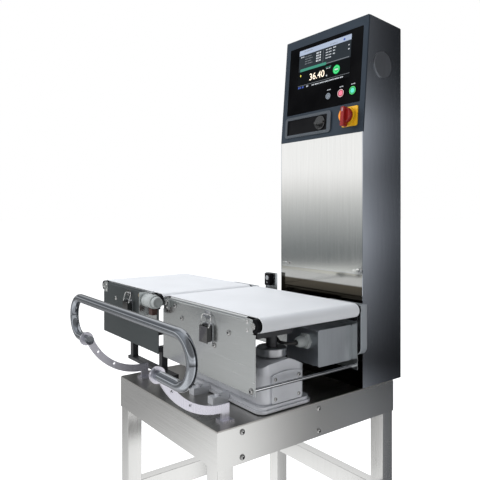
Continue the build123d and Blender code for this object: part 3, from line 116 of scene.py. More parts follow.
def ramp(tree, value, low, high, stops):
    """Colour that follows a value through (value, colour) stops."""
    node = add_node(tree, "ShaderNodeValToRGB", {"Fac": ranged(tree, value, 0, 1, low, high)})
    elements = node.color_ramp.elements
    for i, (at, color) in enumerate(stops):
        position = (at - low) / (high - low)
        element = elements[i] if i < 2 else elements.new(position)
        element.position = position
        element.color = (*color, 1)
    return node.outputs["Color"]


def bumped(tree, value, strength, depth):
    """Normal of a surface that a value raises, by a depth in metres."""
    node = add_node(tree, "ShaderNodeBump",
                    {"Height": value, "Strength": strength, "Distance": depth})
    return node.outputs["Normal"]


def new_material(name, color, roughness, metallic=0.0):
    """Material with plain values on its shader, for its maker to refine."""
    material = bpy.data.materials.new(name)
    material.use_nodes = True
    tree = material.node_tree
    shader = tree.nodes["Principled BSDF"]
    feed(tree, shader, {"Base Color": color, "Roughness": roughness, "Metallic": metallic})
    return material, tree, shader


def brushed(name, dark, light, rough, grain, metallic=1.0, bump=0.10):
    """Metal with a fine grain along one axis and broad cloudy wear."""
    material, tree, shader = new_material(name, light, rough[0], metallic)
    fine = noise(tree, 1.0, grain, 4.0)
    broad = noise(tree, 3.0, detail=4.0)
    wear = summed(tree, broad, fine)
    feed(tree, shader, {
        "Base Color": blended(tree, ranged(tree, wear, 0, 1, 0.7, 1.3), dark, light),
        "Roughness": ranged(tree, wear, rough[0], rough[1], 0.7, 1.3),
        "Normal": bumped(tree, fine, bump, 0.00004)})
    return material


def moulded(name, color, rough=0.4, texture=1500.0, variation=0.12, bump=0.15, metallic=0.0,
            sheen=0.5):
    """Moulded, cast or painted surface with a fine texture and a slight change of colour."""
    material, tree, shader = new_material(name, color, rough, metallic)
    dark = tuple(c * (1 - variation) for c in color)
    light = tuple(min(1, c * (1 + variation) + 0.004) for c in color)
    broad = noise(tree, 9.0, detail=5.0)
    fine = noise(tree, texture, detail=2.0)
    feed(tree, shader, {
        "Base Color": blended(tree, ranged(tree, broad, 0, 1), dark, light),
        "Roughness": ranged(tree, summed(tree, broad, fine), rough - 0.07, rough + 0.1, 0.6, 1.4),
        "Normal": bumped(tree, fine, bump, 0.00005),
        "Specular IOR Level": sheen})
    return material


def glowing(name, color, strength):
    """Lit part of the display or of a key, slightly uneven."""
    material, tree, shader = new_material(name, color, 0.3)
    dark = tuple(c * 0.88 for c in color)
    uneven = blended(tree, ranged(tree, noise(tree, 500.0), 0, 1), dark, color)
    feed(tree, shader, {"Base Color": uneven, "Emission Color": uneven,
                        "Emission Strength": strength, "Specular IOR Level": 0.05})
    return material


def darker_below(material, height, depth):
    """Paints a darker colour on a wall under a height: a painted reflection of the shade behind the
    belt; in metres.
    """
    tree = material.node_tree
    shader = tree.nodes["Principled BSDF"]
    coordinates = add_node(tree, "ShaderNodeTexCoord")
    parts = add_node(tree, "ShaderNodeSeparateXYZ", {"Vector": coordinates.outputs["Object"]})
    shade = ramp(tree, parts.outputs["Z"], height - depth, height + 0.5 * depth,
                 [(height - depth, (0.05, 0.045, 0.04)),
                  (height - 0.06 * depth, (0.16, 0.14, 0.11)),
                  (height + 0.02 * depth, (1.0, 1.0, 1.0))])
    plain = shader.inputs["Base Color"].links[0].from_socket
    feed(tree, shader, {"Base Color": blended(tree, 1.0, plain, shade, "MULTIPLY")})


# Metals: darker and lighter colour, range of roughness, how close the grain lies along each axis
UP = (700, 700, 9)
ALONG = (9, 700, 700)
INWARD = (700, 9, 700)
EVEN = (400, 400, 400)
steel_up = brushed("steel_up", (0.46, 0.48, 0.51), (0.54, 0.56, 0.59), (0.08, 0.11), UP, bump=0.03)
steel_front = brushed("steel_front", (0.59, 0.59, 0.58), (0.66, 0.66, 0.65), (0.07, 0.11), UP,
                      bump=0.05)
steel_lower = brushed("steel_lower", (0.46, 0.45, 0.42), (0.54, 0.53, 0.49), (0.06, 0.10), UP,
                      bump=0.05)
# The lower panel gets a painted reflection of the shade behind the belt, darker below this height
darker_below(steel_lower, height=0.858, depth=0.05)
steel_disc = brushed("steel_disc", (0.17, 0.18, 0.20), (0.21, 0.22, 0.24), (0.30, 0.38), UP)
steel_leg = brushed("steel_leg", (0.60, 0.60, 0.59), (0.68, 0.68, 0.67), (0.18, 0.24), UP)
steel_apron = brushed("steel_apron", (0.58, 0.58, 0.57), (0.66, 0.66, 0.65), (0.16, 0.22), ALONG)
steel_deck = brushed("steel_deck", (0.40, 0.39, 0.37), (0.47, 0.46, 0.44), (0.26, 0.34), INWARD)
steel_plate = brushed("steel_plate", (0.53, 0.55, 0.55), (0.60, 0.62, 0.62), (0.22, 0.28), ALONG)
# Darker copy of the plate steel for the infeed plates: a painted dark reflection
steel_plate_painted_shade = brushed("steel_plate_painted_shade", (0.09, 0.105, 0.11), (0.12, 0.135, 0.14),
                           (0.30, 0.40), ALONG)
steel_cover = brushed("steel_cover", (0.38, 0.40, 0.43), (0.46, 0.49, 0.52), (0.28, 0.38), UP)
steel_drive = brushed("steel_drive", (0.38, 0.41, 0.44), (0.46, 0.49, 0.52), (0.28, 0.38), UP,
                      metallic=0.6)
# Darker copy of the polished steel for the guard tube: a painted darker reflection
tube_metal_painted_shade = brushed("tube_metal_painted_shade", (0.26, 0.28, 0.31), (0.35, 0.37, 0.40), (0.05, 0.09), EVEN,
                     bump=0.03)
# Polished steel coloured dark for the latch levers and the port knob: a painted dark reflection
lever_metal_painted_dark_reflection = brushed("lever_metal_painted_dark_reflection", (0.10, 0.10, 0.10), (0.22, 0.22, 0.22), (0.05, 0.10), EVEN,
                      bump=0.03)
# Lighter, lavender copy of the sheet steel for the guard arms: a painted reflection
arm_metal_painted_reflection = brushed("arm_metal_painted_reflection", (0.64, 0.63, 0.70), (0.74, 0.73, 0.80), (0.24, 0.34), UP)
polished = brushed("polished", (0.50, 0.51, 0.53), (0.68, 0.69, 0.71), (0.07, 0.14), EVEN,
                   bump=0.03)
chrome = brushed("chrome", (0.62, 0.62, 0.62), (0.88, 0.88, 0.87), (0.04, 0.10), EVEN, bump=0.03)
screw_steel = brushed("screw_steel", (0.34, 0.34, 0.34), (0.62, 0.62, 0.61), (0.18, 0.30), EVEN)
brass_tint = brushed("brass_tint", (0.48, 0.40, 0.28), (0.74, 0.66, 0.50), (0.14, 0.26), EVEN)
zinc = brushed("zinc", (0.42, 0.42, 0.42), (0.62, 0.62, 0.62), (0.28, 0.44), EVEN)
platter_metal = brushed("platter_metal", (0.46, 0.47, 0.49), (0.54, 0.55, 0.57), (0.26, 0.32),
                        EVEN, bump=0.03)

# Castings, paints and plastics
cast = moulded("cast", (0.30, 0.31, 0.32), 0.36, 900.0, bump=0.35, metallic=0.55)
cast_light = moulded("cast_light", (0.62, 0.63, 0.66), 0.34, 900.0, 0.10, 0.30, 0.45)
dark_paint = moulded("dark_paint", (0.020, 0.021, 0.024))
belt_white = moulded("belt_white", (0.80, 0.81, 0.83), 0.50, 2600.0, 0.025, 0.20)
bezel_paint = moulded("bezel_paint", (0.024, 0.034, 0.047), 0.34, 1500.0, 0.10, 0.12, sheen=0.15)
frame_paint = moulded("frame_paint", (0.050, 0.060, 0.072), 0.30, 1500.0, 0.10, 0.12)
glass_black = moulded("glass_black", (0.0012, 0.0012, 0.0016), 0.16, 300.0, 0.2, 0.01, sheen=0.02)
black_plastic = moulded("black_plastic", (0.005, 0.005, 0.006), 0.30, sheen=0.05)
grey_plastic = moulded("grey_plastic", (0.30, 0.31, 0.32))
pale_plastic = moulded("pale_plastic", (0.34, 0.36, 0.355), 0.36)
lavender = moulded("lavender", (0.48, 0.46, 0.56), 0.38)
brown_red = moulded("brown_red", (0.035, 0.012, 0.009))
yellow_plastic = moulded("yellow_plastic", (0.72, 0.40, 0.010), 0.34)
# Amber for the half disc on the switch's red knob: a painted highlight of the knob's lit left half
amber_painted_highlight = moulded("amber_painted_highlight", (0.80, 0.26, 0.008), 0.30)
red_plastic = moulded("red_plastic", (0.24, 0.005, 0.004), 0.28)
key_grey = moulded("key_grey", (0.10, 0.11, 0.13), 0.32)
key_red = moulded("key_red", (0.34, 0.03, 0.05), 0.32)
key_green = moulded("key_green", (0.02, 0.26, 0.13), 0.32)
rubber = moulded("rubber", (0.012, 0.012, 0.012), 0.55, 1200.0, 0.2, 0.4)
circuit = moulded("circuit", (0.02, 0.14, 0.06), 0.5)

# Lit parts of the display and of the keys
screen_head = glowing("screen_head", (0.26, 0.30, 0.38), 0.55)
screen_table = glowing("screen_table", (0.016, 0.020, 0.024), 0.6)
screen_black = glowing("screen_black", (0.0020, 0.0025, 0.0030), 0.5)
screen_text = glowing("screen_text", (0.42, 0.44, 0.46), 0.5)
screen_dim = glowing("screen_dim", (0.13, 0.14, 0.15), 0.6)
screen_teal = glowing("screen_teal", (0.035, 0.17, 0.12), 0.6)
screen_cream = glowing("screen_cream", (0.90, 0.76, 0.60), 0.75)
screen_green = glowing("screen_green", (0.015, 0.36, 0.09), 0.6)
screen_pale_green = glowing("screen_pale_green", (0.16, 0.60, 0.28), 0.5)
screen_blue = glowing("screen_blue", (0.04, 0.07, 0.26), 0.6)
screen_yellow = glowing("screen_yellow", (0.70, 0.62, 0.10), 0.6)
ring_green = glowing("ring_green", (0.10, 0.62, 0.14), 0.45)
ring_pink = glowing("ring_pink", (0.66, 0.52, 0.52), 0.35)
mark_teal = glowing("mark_teal", (0.10, 0.62, 0.45), 0.35)
mark_pink = glowing("mark_pink", (0.80, 0.18, 0.26), 0.35)
mark_grey = glowing("mark_grey", (0.26, 0.30, 0.34), 0.25)


# Outlines and solids: each add function adds to a bmesh in millimetres
def turned(origin, axis):
    """Matrix that stands local Z along an axis at a point."""
    turn = Vector(axis).to_track_quat("Z", "Y").to_matrix().to_4x4()
    return Matrix.Translation(Vector(origin)) @ turn


def polygon(radius, sides):
    """Regular outline round the origin."""
    return [(radius * math.cos(2 * math.pi * i / sides), radius * math.sin(2 * math.pi * i / sides))
            for i in range(sides)]


def rounded(x, y, corner, steps=5):
    """Rectangle outline with round corners."""
    points = []
    for cx, cy, start in ((x[1] - corner, y[1] - corner, 0), (x[0] + corner, y[1] - corner, 90),
                          (x[0] + corner, y[0] + corner, 180), (x[1] - corner, y[0] + corner, 270)):
        for i in range(steps + 1):
            angle = math.radians(start + 90 * i / steps)
            points.append((cx + corner * math.cos(angle), cy + corner * math.sin(angle)))
    return points


def add_box(bm, x, y, z, place=Matrix.Identity(4)):
    """Box between the limits on each axis."""
    corners = [bm.verts.new(place @ Vector((a, b, c))) for c in z for b in y for a in x]
    for face in ((0, 2, 3, 1), (4, 5, 7, 6), (0, 1, 5, 4),
                 (2, 6, 7, 3), (0, 4, 6, 2), (1, 3, 7, 5)):
        bm.faces.new([corners[i] for i in face])


def add_lathe(bm, place, profile, segments=32):
    """Round body from (radius, height) points; a zero radius closes the end."""
    rings = []
    for radius, height in profile:
        outline = polygon(radius, segments) if radius else [(0, 0)]
        rings.append([bm.verts.new(place @ Vector((x, y, height))) for x, y in outline])
    for low, high in zip(rings, rings[1:]):
        for i in range(segments):
            j = (i + 1) % segments
            if len(low) == 1:
                bm.faces.new((low[0], high[j], high[i]))
            elif len(high) == 1:
                bm.faces.new((low[i], low[j], high[0]))
            else:
                bm.faces.new((low[i], low[j], high[j], high[i]))


def add_prism(bm, place, outline, low, high):
    """Closed outline in local X and Y, raised from low to high."""
    bottom = [bm.verts.new(place @ Vector((x, y, low))) for x, y in outline]
    top = [bm.verts.new(place @ Vector((x, y, high))) for x, y in outline]
    bm.faces.new(list(reversed(bottom)))
    bm.faces.new(top)
    for i in range(len(outline)):
        j = (i + 1) % len(outline)
        bm.faces.new((bottom[i], bottom[j], top[j], top[i]))


def add_screw(metal, dark, point, axis, radius, height):
    """Domed screw head with a hexagonal socket, washer below."""
    place = turned(point, axis)
    washer = radius + 1.2
    add_lathe(metal, place, [(0, 0), (washer, 0), (washer, 0.8), (radius, 0.8),
                             (radius, 0.45 * height), (radius * 0.86, 0.8 * height),
                             (radius * 0.6, height), (0, height)], 24)
    add_prism(dark, place, polygon(radius * 0.42, 6), height, height + 0.12)


# Objects
SHARP_ANGLE = math.radians(35)


def add_object(name, data):
    """Object in the scene that shows a mesh, a curve, a lamp or a camera."""
    obj = bpy.data.objects.new(name, data)
    bpy.context.scene.collection.objects.link(obj)
    return obj


def finish_edges(obj, bevel):
    """Smooth shading across gentle angles; small rounded edges where a width is given."""
    obj.data.shade_smooth()
    if not bevel:
        obj.data.set_sharp_from_angle(angle=SHARP_ANGLE)
        return
    weld = obj.modifiers.new("weld", "WELD")
    weld.merge_threshold = 0.00001
    flat = obj.modifiers.new("flat", "DECIMATE")
    flat.decimate_type = "DISSOLVE"
    flat.angle_limit = math.radians(0.5)
    edge = obj.modifiers.new("edges", "BEVEL")
    edge.width = bevel * MM
    edge.segments = 2
    edge.limit_method = "ANGLE"
    edge.angle_limit = SHARP_ANGLE
    even = obj.modifiers.new("even", "WEIGHTED_NORMAL")
    even.keep_sharp = True


def piece(name, bm, material, body, bevel=0.0):
    """Mesh piece in metres that rides on a body."""
    bmesh.ops.recalc_face_normals(bm, faces=bm.faces)
    bmesh.ops.scale(bm, vec=(MM, MM, MM), verts=bm.verts)
    mesh = bpy.data.meshes.new(name)
    bm.to_mesh(mesh)
    bm.free()
    mesh.materials.append(material)
    obj = add_object(name, mesh)
    finish_edges(obj, bevel)
    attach(obj, body)
    return obj


# Looks of the constructed pieces: material, width of the rounded edges, names
CAD_LOOKS = [
    (steel_leg, 1.5, "frame_tubes"),
    (steel_apron, 0, "apron_plates deck_beams slider_beds"),
    (steel_deck, 0, "deck_plate"),
    (zinc, 0.6, "levelling_feet"),
    (zinc, 0, "power_supply"),
    (steel_up, 0, "cabinet_shell rear_cover"),
    (steel_front, 0, "front_cover"),
    (steel_lower, 0, "lower_panel"),
    (steel_disc, 0, "side_disc"),
    (chrome, 0.4, "left_catch right_catch"),
    (bezel_paint, 0.5, "head_bezel"),
    (glass_black, 0.2, "touch_glass"),
    (black_plastic, 0, "display_module switch_body"),
    (circuit, 0, "controller_board"),
    (yellow_plastic, 0.8, "switch_plate"),
    (key_grey, 0.5, "menu_key"),
    (key_red, 0.5, "stop_key"),
    (key_green, 0.5, "start_key"),
    (frame_paint, 1.2, "port_frame"),
    (black_plastic, 0.5, "port_door"),
    (lever_metal_painted_dark_reflection, 0.7, "port_knob"),
    (steel_plate, 0, "weigh_side_plates"),
    (steel_plate_painted_shade, 0, "infeed_side_plates"),
    (belt_white, 0, "conveyor_belts"),
    (polished, 0, "weigh_drive_roller weigh_idler_roller infeed_drive_roller infeed_idler_roller"),
    (polished, 0, "tie_rods"),
    (dark_paint, 1.0, "conveyor_motors"),
    (steel_cover, 0.8, "motor_covers"),
    (cast, 0, "weigh_motor_pulley infeed_motor_pulley"),
    (rubber, 0, "timing_belts motor_cable"),
    (steel_drive, 0.8, "drive_covers"),
    (polished, 0.3, "latch_bases"),
    (lever_metal_painted_dark_reflection, 0.5, "weigh_latch_lever infeed_latch_lever"),
    (chrome, 0, "weigh_latch_bail infeed_latch_bail"),
    (cast_light, 1.2, "cell_base"),
    (cast_light, 3.0, "cell_body"),
    (cast_light, 0.8, "cell_cover"),
    (platter_metal, 0, "platters"),
    (dark_paint, 0.8, "carrier infeed_stands"),
    (tube_metal_painted_shade, 0, "guard_rail"),
    (arm_metal_painted_reflection, 0, "guard_arms"),
    (steel_plate, 0.3, "sensor_brackets"),
]
for material, bevel, names in CAD_LOOKS:
    for name in names.split():
        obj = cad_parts[name]
        for material_slot in obj.material_slots:
            material_slot.material = material
        if bevel:
            finish_edges(obj, bevel)

# Display: panels and marks in thin layers above the glass
LAYER = 0.04
PANEL, MARK, RING, CORE, SIGN = 0.06, 0.12, 0.16, 0.20, 0.24
SCREEN_LEFT, SCREEN_RIGHT = -98, 101
RESULT_LOW, TABLE_LOW, HEADER_LOW, SCREEN_TOP = 152, 205, 253, 268
LAMP_ACROSS, LAMP_UP = 52.4, 182.5
screen = bmesh.new()
screen_layers = []


def on_screen(material, shapes, level=MARK):
    """Thin shapes on the glass: boxes (left, right, low, high) or outlines."""
    start = len(screen.faces)
    for shape in shapes:
        if not isinstance(shape[0], tuple):
            left, right, low, high = shape
            shape = [(left, low), (right, low), (right, high), (left, high)]
        add_prism(screen, HEAD, shape, level - LAYER, level)
    screen_layers.append((material, start, len(screen.faces)))


def disc(across, up, radius, sides):
    """Round outline at a point of the glass."""
    return [(across + x, up + y) for x, y in polygon(radius, sides)]


def text_bars(left, right, middle, height, count):
    """A row of small bars, every third one shorter, that stands for a line of fine text."""
    step = (right - left) / count
    low, high = middle - height / 2, middle + height / 2
    return [(left + i * step, left + (i + 0.78 - 0.3 * (i % 3 == 1)) * step, low, high)
            for i in range(count)]


on_screen(screen_black, [(SCREEN_LEFT, SCREEN_RIGHT, RESULT_LOW, TABLE_LOW)], PANEL)
on_screen(screen_table, [(SCREEN_LEFT, SCREEN_RIGHT, TABLE_LOW, HEADER_LOW)], PANEL)
on_screen(screen_head, [(SCREEN_LEFT, SCREEN_RIGHT, HEADER_LOW, SCREEN_TOP)], PANEL)

# Header line, then the table: values in four columns, names in dim bars, thin rules
on_screen(screen_dim, text_bars(-78, -44, 262, 2.2, 7) + text_bars(24, 52, 258.5, 2.0, 6))
on_screen(screen_blue, [disc(76, 259.5, 3.4, 20)])
values = text_bars(-91, -77, 247.5, 3.0, 3)
for row in range(4):
    values += text_bars(-28, -9, 246 - 7.5 * row, 4.4, 3)
for row in range(4):
    values += text_bars(9, 31, 246.5 - 7.8 * row, 2.6, 4)
for row in range(3):
    values += text_bars(36, 46 + 4 * (row == 0), 247 - 8.6 * row, 3.2, 2)
values += text_bars(91, 98, 240, 3.0, 2) + text_bars(91, 98, 229, 3.0, 2)
on_screen(screen_text, values)
names = []
for row in range(4):
    names += text_bars(-73, -46 + 6 * (row % 2), 246 - 7.0 * row, 2.2, 5)
rules = [(13, 96, 206.8, 208.6), (-97, 100, 162.6, 163.6), (-1.2, -0.4, 212, 251)]
on_screen(screen_dim, names + rules)

# Result: teal strip, small captions, round green lamp with its sign
on_screen(screen_teal, [(-91, 12.5, 204.5, 212.5)])
on_screen(screen_teal, text_bars(12, 33, 196.5, 2.6, 4))
on_screen(screen_text, text_bars(14, 30, 192.6, 1.8, 3) + text_bars(14.5, 20, 173, 4.0, 1))
on_screen(screen_yellow, [(-90, -86.5, 190.5, 195.5)])
on_screen(screen_green, [disc(LAMP_ACROSS, LAMP_UP, 12.4, 40)])
on_screen(screen_pale_green, [disc(LAMP_ACROSS, LAMP_UP, 9.6, 36)], RING)
on_screen(screen_green, [disc(LAMP_ACROSS, LAMP_UP, 8.6, 36)], CORE)
on_screen(screen_text, [(46.5, 58.5, 180.8, 184.4)], SIGN)

# Bottom line, then a plain bar over each key
on_screen(screen_text, text_bars(-40, 79, 157, 3.0, 19) + text_bars(-62, -52, 157.5, 4.0, 2))
on_screen(screen_blue, text_bars(-96, -72, 157.8, 5.0, 3))
for across in KEY_ACROSS.values():
    on_screen(screen_text, text_bars(across - 6.5, across + 7, 130.6, 2.4, 4))

picture = piece("screen_picture", screen, screen_layers[0][0], "frame")
for material, start, end in screen_layers:
    if material.name not in picture.data.materials:
        picture.data.materials.append(material)
    slot_index = picture.data.materials.find(material.name)
    for face in picture.data.polygons[start:end]:
        face.material_index = slot_index

# Large plain number on the display
digits = bpy.data.curves.new("digits", "FONT")
digits.body = "36.40"
digits.size = 27.5 * MM
digits.extrude = 0.1 * MM
digits.align_x = "CENTER"
digits_source = add_object("digits_source", digits)
bpy.context.view_layer.update()
depsgraph = bpy.context.evaluated_depsgraph_get()
number_mesh = bpy.data.meshes.new_from_object(digits_source.evaluated_get(depsgraph))
bpy.data.objects.remove(digits_source)
head_in_metres = Matrix.Translation(HEAD.translation * MM) @ HEAD.to_3x3().to_4x4()
number_mesh.transform(head_in_metres @ Matrix.Translation(Vector((-22, 172.5, 0.25)) * MM))
number_mesh.materials.clear()
number_mesh.materials.append(screen_cream)
number = add_object("screen_number", number_mesh)
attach(number, "frame")

# Keys: a raised ring and a mark on each
for key, radius, ring, mark in (("menu_key", 8.5, mark_grey, mark_grey),
                                ("stop_key", 10.8, ring_pink, mark_pink),
                                ("start_key", 10.8, ring_green, mark_teal)):
    centre = HEAD @ Matrix.Translation((KEY_ACROSS[key], KEY_UP, 0))
    bm = bmesh.new()
    add_lathe(bm, centre, [(radius - 1.5, 2.3), (radius - 1.3, 2.8), (radius - 0.3, 2.8),
                           (radius - 0.1, 2.3)], 40)
    piece(key + "_ring", bm, ring, key + "_body")
    bm = bmesh.new()
    if key == "menu_key":
        add_lathe(bm, centre, [(2.4, 2.3), (2.5, 2.6), (4.0, 2.6), (4.1, 2.3)], 24)
    else:
        add_lathe(bm, centre, [(0, 2.5), (radius - 4.4, 2.5), (radius - 4.2, 2.3)], 24)
    piece(key + "_mark", bm, mark, key + "_body")

# Main switch: red knob with an upright grip, a pale pointer on it and an amber half disc, a painted
# highlight
bm = bmesh.new()
centre = HEAD @ Matrix.Translation((SWITCH_ACROSS, SWITCH_UP, 0))
add_lathe(bm, centre, [(0, 13.3), (20, 13.3), (20, 22), (18.5, 24.6), (0, 24.6)], 48)
add_prism(bm, centre, rounded((-5.5, 6.5), (-30, 21), 3.5), 16.0, 33.0)
add_lathe(bm, centre, [(3, -18), (3, 14)], 20)
knob = piece("switch_knob_cap", bm, red_plastic, "switch_knob_body", 1.1)
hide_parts("switch_knob")
# The pale pointer is given the display's glowing text material: a pale mark whose glow is painted
# light
bm = bmesh.new()
add_box(bm, (-0.4, 1.4), (8, 17), (32.8, 33.4), centre)
piece("switch_pointer", bm, screen_text, "switch_knob_body", 0.2)
# Amber half disc on the front of the knob: a painted highlight
bm = bmesh.new()
arc = [math.radians(angle) for angle in range(106, 256, 10)]
add_prism(bm, centre, [(18.5 * math.cos(a), 18.5 * math.sin(a)) for a in arc], 24.0, 25.2)
piece("switch_painted_highlight", bm, amber_painted_highlight, "switch_knob_body", 0.2)

# Screws: bolts in the side aprons, heads on the front plates, the rear cover and the cell's cover
APRON_BOLTS = [(y, z) for y in (-221, 4) for z in (531.5, 584.5)]
PLATE_SCREWS = [(-48, 777), (157, 777), (-455, 777), (238, 667), (-82, 804), (99, 737)]
REAR_SCREWS = [(x, z) for x in (-64.02, 74.205, 212.43) for z in (660, 1060, 1460)]
CELL_SCREWS = [(y, z) for y in (-117, -46) for z in (627, 671)]
metal, dark = bmesh.new(), bmesh.new()
for side in (-1, 1):
    for y, z in APRON_BOLTS:
        add_screw(metal, dark, (side * 233, y, z), (side, 0, 0), 5.5, 4.0)
        add_lathe(metal, turned((side * 225, y, z), (side, 0, 0)), [(0, 0), (3, 0), (3, 9)], 12)
for x, z in PLATE_SCREWS:
    add_screw(metal, dark, (x, FRONT_FACE - PLATE, z), (0, -1, 0), 6.0, 3.5)
for x, z in REAR_SCREWS:
    add_screw(metal, dark, (x, 319, z), (0, 1, 0), 4.0, 2.4)
for y, z in CELL_SCREWS:
    add_screw(metal, dark, (219, y, z), (1, 0, 0), 3.4, 1.8)
screws = piece("screw_heads", metal, screw_steel, "frame")
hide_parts("machine_screws")
piece("screw_sockets", dark, black_plastic, "frame")

# Thumb screws of the front sensor's bracket, with milled rims
bm = bmesh.new()
for x in (-273, -237):
    place = turned((x, -203, 808), (0, -1, 0))
    add_lathe(bm, place, [(0, 0), (4, 0), (4, 3.4), (3.4, 3.8), (5.6, 4.4), (5.6, 8), (4.6, 9),
                          (0, 9)], 24)
    for i in range(12):
        rib = place @ Matrix.Rotation(2 * math.pi * i / 12, 4, "Z")
        add_box(bm, (5.2, 6.3), (-0.6, 0.6), (4.6, 7.8), rib)
piece("thumb_screws", bm, brass_tint, "frame")

# Bearing blocks: pads in the plates, black seals inside, and outside an open steel ring at the
# driven end of the rear plate or else a black disc with a steel cap and two screws
ROLLER_ENDS = ((-549, -552, -1), (-178, -175, 1), (-132, -147, -1), (248, 251, 1))
pads, caps, seals, heads, holes = (bmesh.new() for i in range(5))
for roller, end, side in ROLLER_ENDS:
    cut = end - side * 33
    for face, outward in ((FRONT_FACE, -1), (REAR_FACE, 1)):
        driven = outward == 1 and side == 1
        surface = face + outward * (PLATE if driven else 2 * PLATE)
        inside = turned((roller, face, AXIS_Z), (0, -outward, 0))
        outside = turned((roller, face, AXIS_Z), (0, outward, 0))
        add_box(pads, sorted((cut + side * 0.5, end - side * 6)), sorted((face, surface)),
                (788.5, 820))
        add_box(seals, sorted((cut - side * 18, roller)), sorted((face, face - outward * 6)),
                (780, 812))
        add_lathe(seals, inside, [(15, 0), (15, 6), (4.2, 6)], 32)
        if driven:
            add_lathe(caps, outside, [(12, 0), (12, PLATE), (4.2, PLATE)], 40)
        else:
            add_lathe(seals, outside, [(15, 0), (15, 2.4), (14.4, 3), (4.2, 3)], 40)
            add_lathe(caps, outside, [(7.6, 2.6), (7.6, 5.5), (6.6, 6.5), (0, 6.5)], 32)
            for z in (795, 813):
                add_screw(heads, holes, (end - side * 24, surface, z), (0, outward, 0), 3.0, 2.0)
blocks = piece("bearing_pads", pads, steel_plate, "frame", 0.6)
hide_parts("bearing_blocks")
piece("bearing_caps", caps, screw_steel, "frame")
piece("bearing_seals", seals, black_plastic, "frame")
piece("bearing_screws", heads, chrome, "frame")
piece("bearing_sockets", holes, black_plastic, "frame")

# Glands of the motor's cover and of the deck: hexagon, ribbed dome nut, seal round the cable
CABLE = 3.6
metal, seal = bmesh.new(), bmesh.new()
for place, flats, body, neck, length in (
        (turned((193, 3, 737), (0, -1, 0)), 34, 13.0, 12.0, 33.0),
        (turned((50, 56, 600), (0, 0, 1)), 20, 8.0, 8.0, 18.0)):
    add_prism(metal, place, polygon(flats / 2 / math.cos(math.pi / 6), 6), 0, neck * 0.72)
    add_lathe(metal, place, [(body * 1.04, neck * 0.7), (body * 1.04, neck), (body * 0.9, neck),
                             (body, neck + 1.5), (body, length * 0.74),
                             (body * 0.82, length * 0.92), (body * 0.55, length),
                             (CABLE, length)], 36)
    for i in range(18):
        rib = place @ Matrix.Rotation(2 * math.pi * i / 18, 4, "Z")
        add_box(metal, (body * 0.95, body), (-0.7, 0.7), (neck + 1.5, length * 0.74), rib)
    add_lathe(seal, place, [(body * 0.5, length - 0.6), (body * 0.48, length + 0.4),
                            (CABLE - 0.05, length + 0.4)], 24)
add_lathe(metal, turned((50, 56, 593), (0, 0, 1)), [(CABLE, 0), (7, 0), (7, 7)], 24)
glands = piece("gland_nuts", metal, pale_plastic, "frame", 0.4)
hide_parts("cable_glands")
piece("gland_seals", seal, rubber, "frame")

# Front sensor barrel: ribbed pale housing, lens end, nut and a brown-red connector
BARREL_Y = -226
housing, lens_end, nut, connector = (bmesh.new() for i in range(4))
barrel = turned((-196, BARREL_Y, AXIS_Z), (1, 0, 0))
add_lathe(housing, barrel, [(0, 0), (16.5, 0), (18, 1.5), (18, 50.5), (16.5, 52), (0, 52)], 48)
for rib in (12, 40):
    add_lathe(housing, barrel, [(18.0, rib), (18.7, rib + 0.8), (18.7, rib + 3.2),
                                (18.0, rib + 4)], 48)
add_lathe(lens_end, barrel, [(15, 52), (15, 62), (14, 66), (11, 66), (11, 63.5), (0, 63.5)], 40)
add_lathe(nut, turned((-204, BARREL_Y, AXIS_Z), (1, 0, 0)), [(0, 0), (8, 0), (8, 8)], 6)
add_box(connector, (-168, -148), (BARREL_Y - 8, BARREL_Y + 8), (772, 790))
sensors = piece("sensor_barrel", housing, pale_plastic, "frame")
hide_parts("photo_sensors")
piece("sensor_lens_end", lens_end, pale_plastic, "frame")
piece("sensor_nut", nut, lavender, "frame", 0.4)
piece("sensor_connector", connector, brown_red, "frame", 0.8)

# Rear photo sensor: black housing with a round window and a small lamp
WINDOW_X, WINDOW_Y = -111.5, 133
bm = bmesh.new()
add_box(bm, (-124, -99), (WINDOW_Y, 145), (827, 863))
piece("rear_sensor_housing", bm, black_plastic, "frame", 1.5)
bm = bmesh.new()
add_lathe(bm, turned((WINDOW_X, WINDOW_Y, 850), (0, -1, 0)),
          [(0, 0), (7, 0), (7, 0.8), (5.6, 0.8), (5.2, 0.3), (0, 0.3)], 28)
add_lathe(bm, turned((WINDOW_X, WINDOW_Y, 836), (0, -1, 0)),
          [(0, 0), (2.4, 0), (2.4, 0.5), (0, 0.5)], 20)
piece("rear_sensor_window", bm, grey_plastic, "frame")


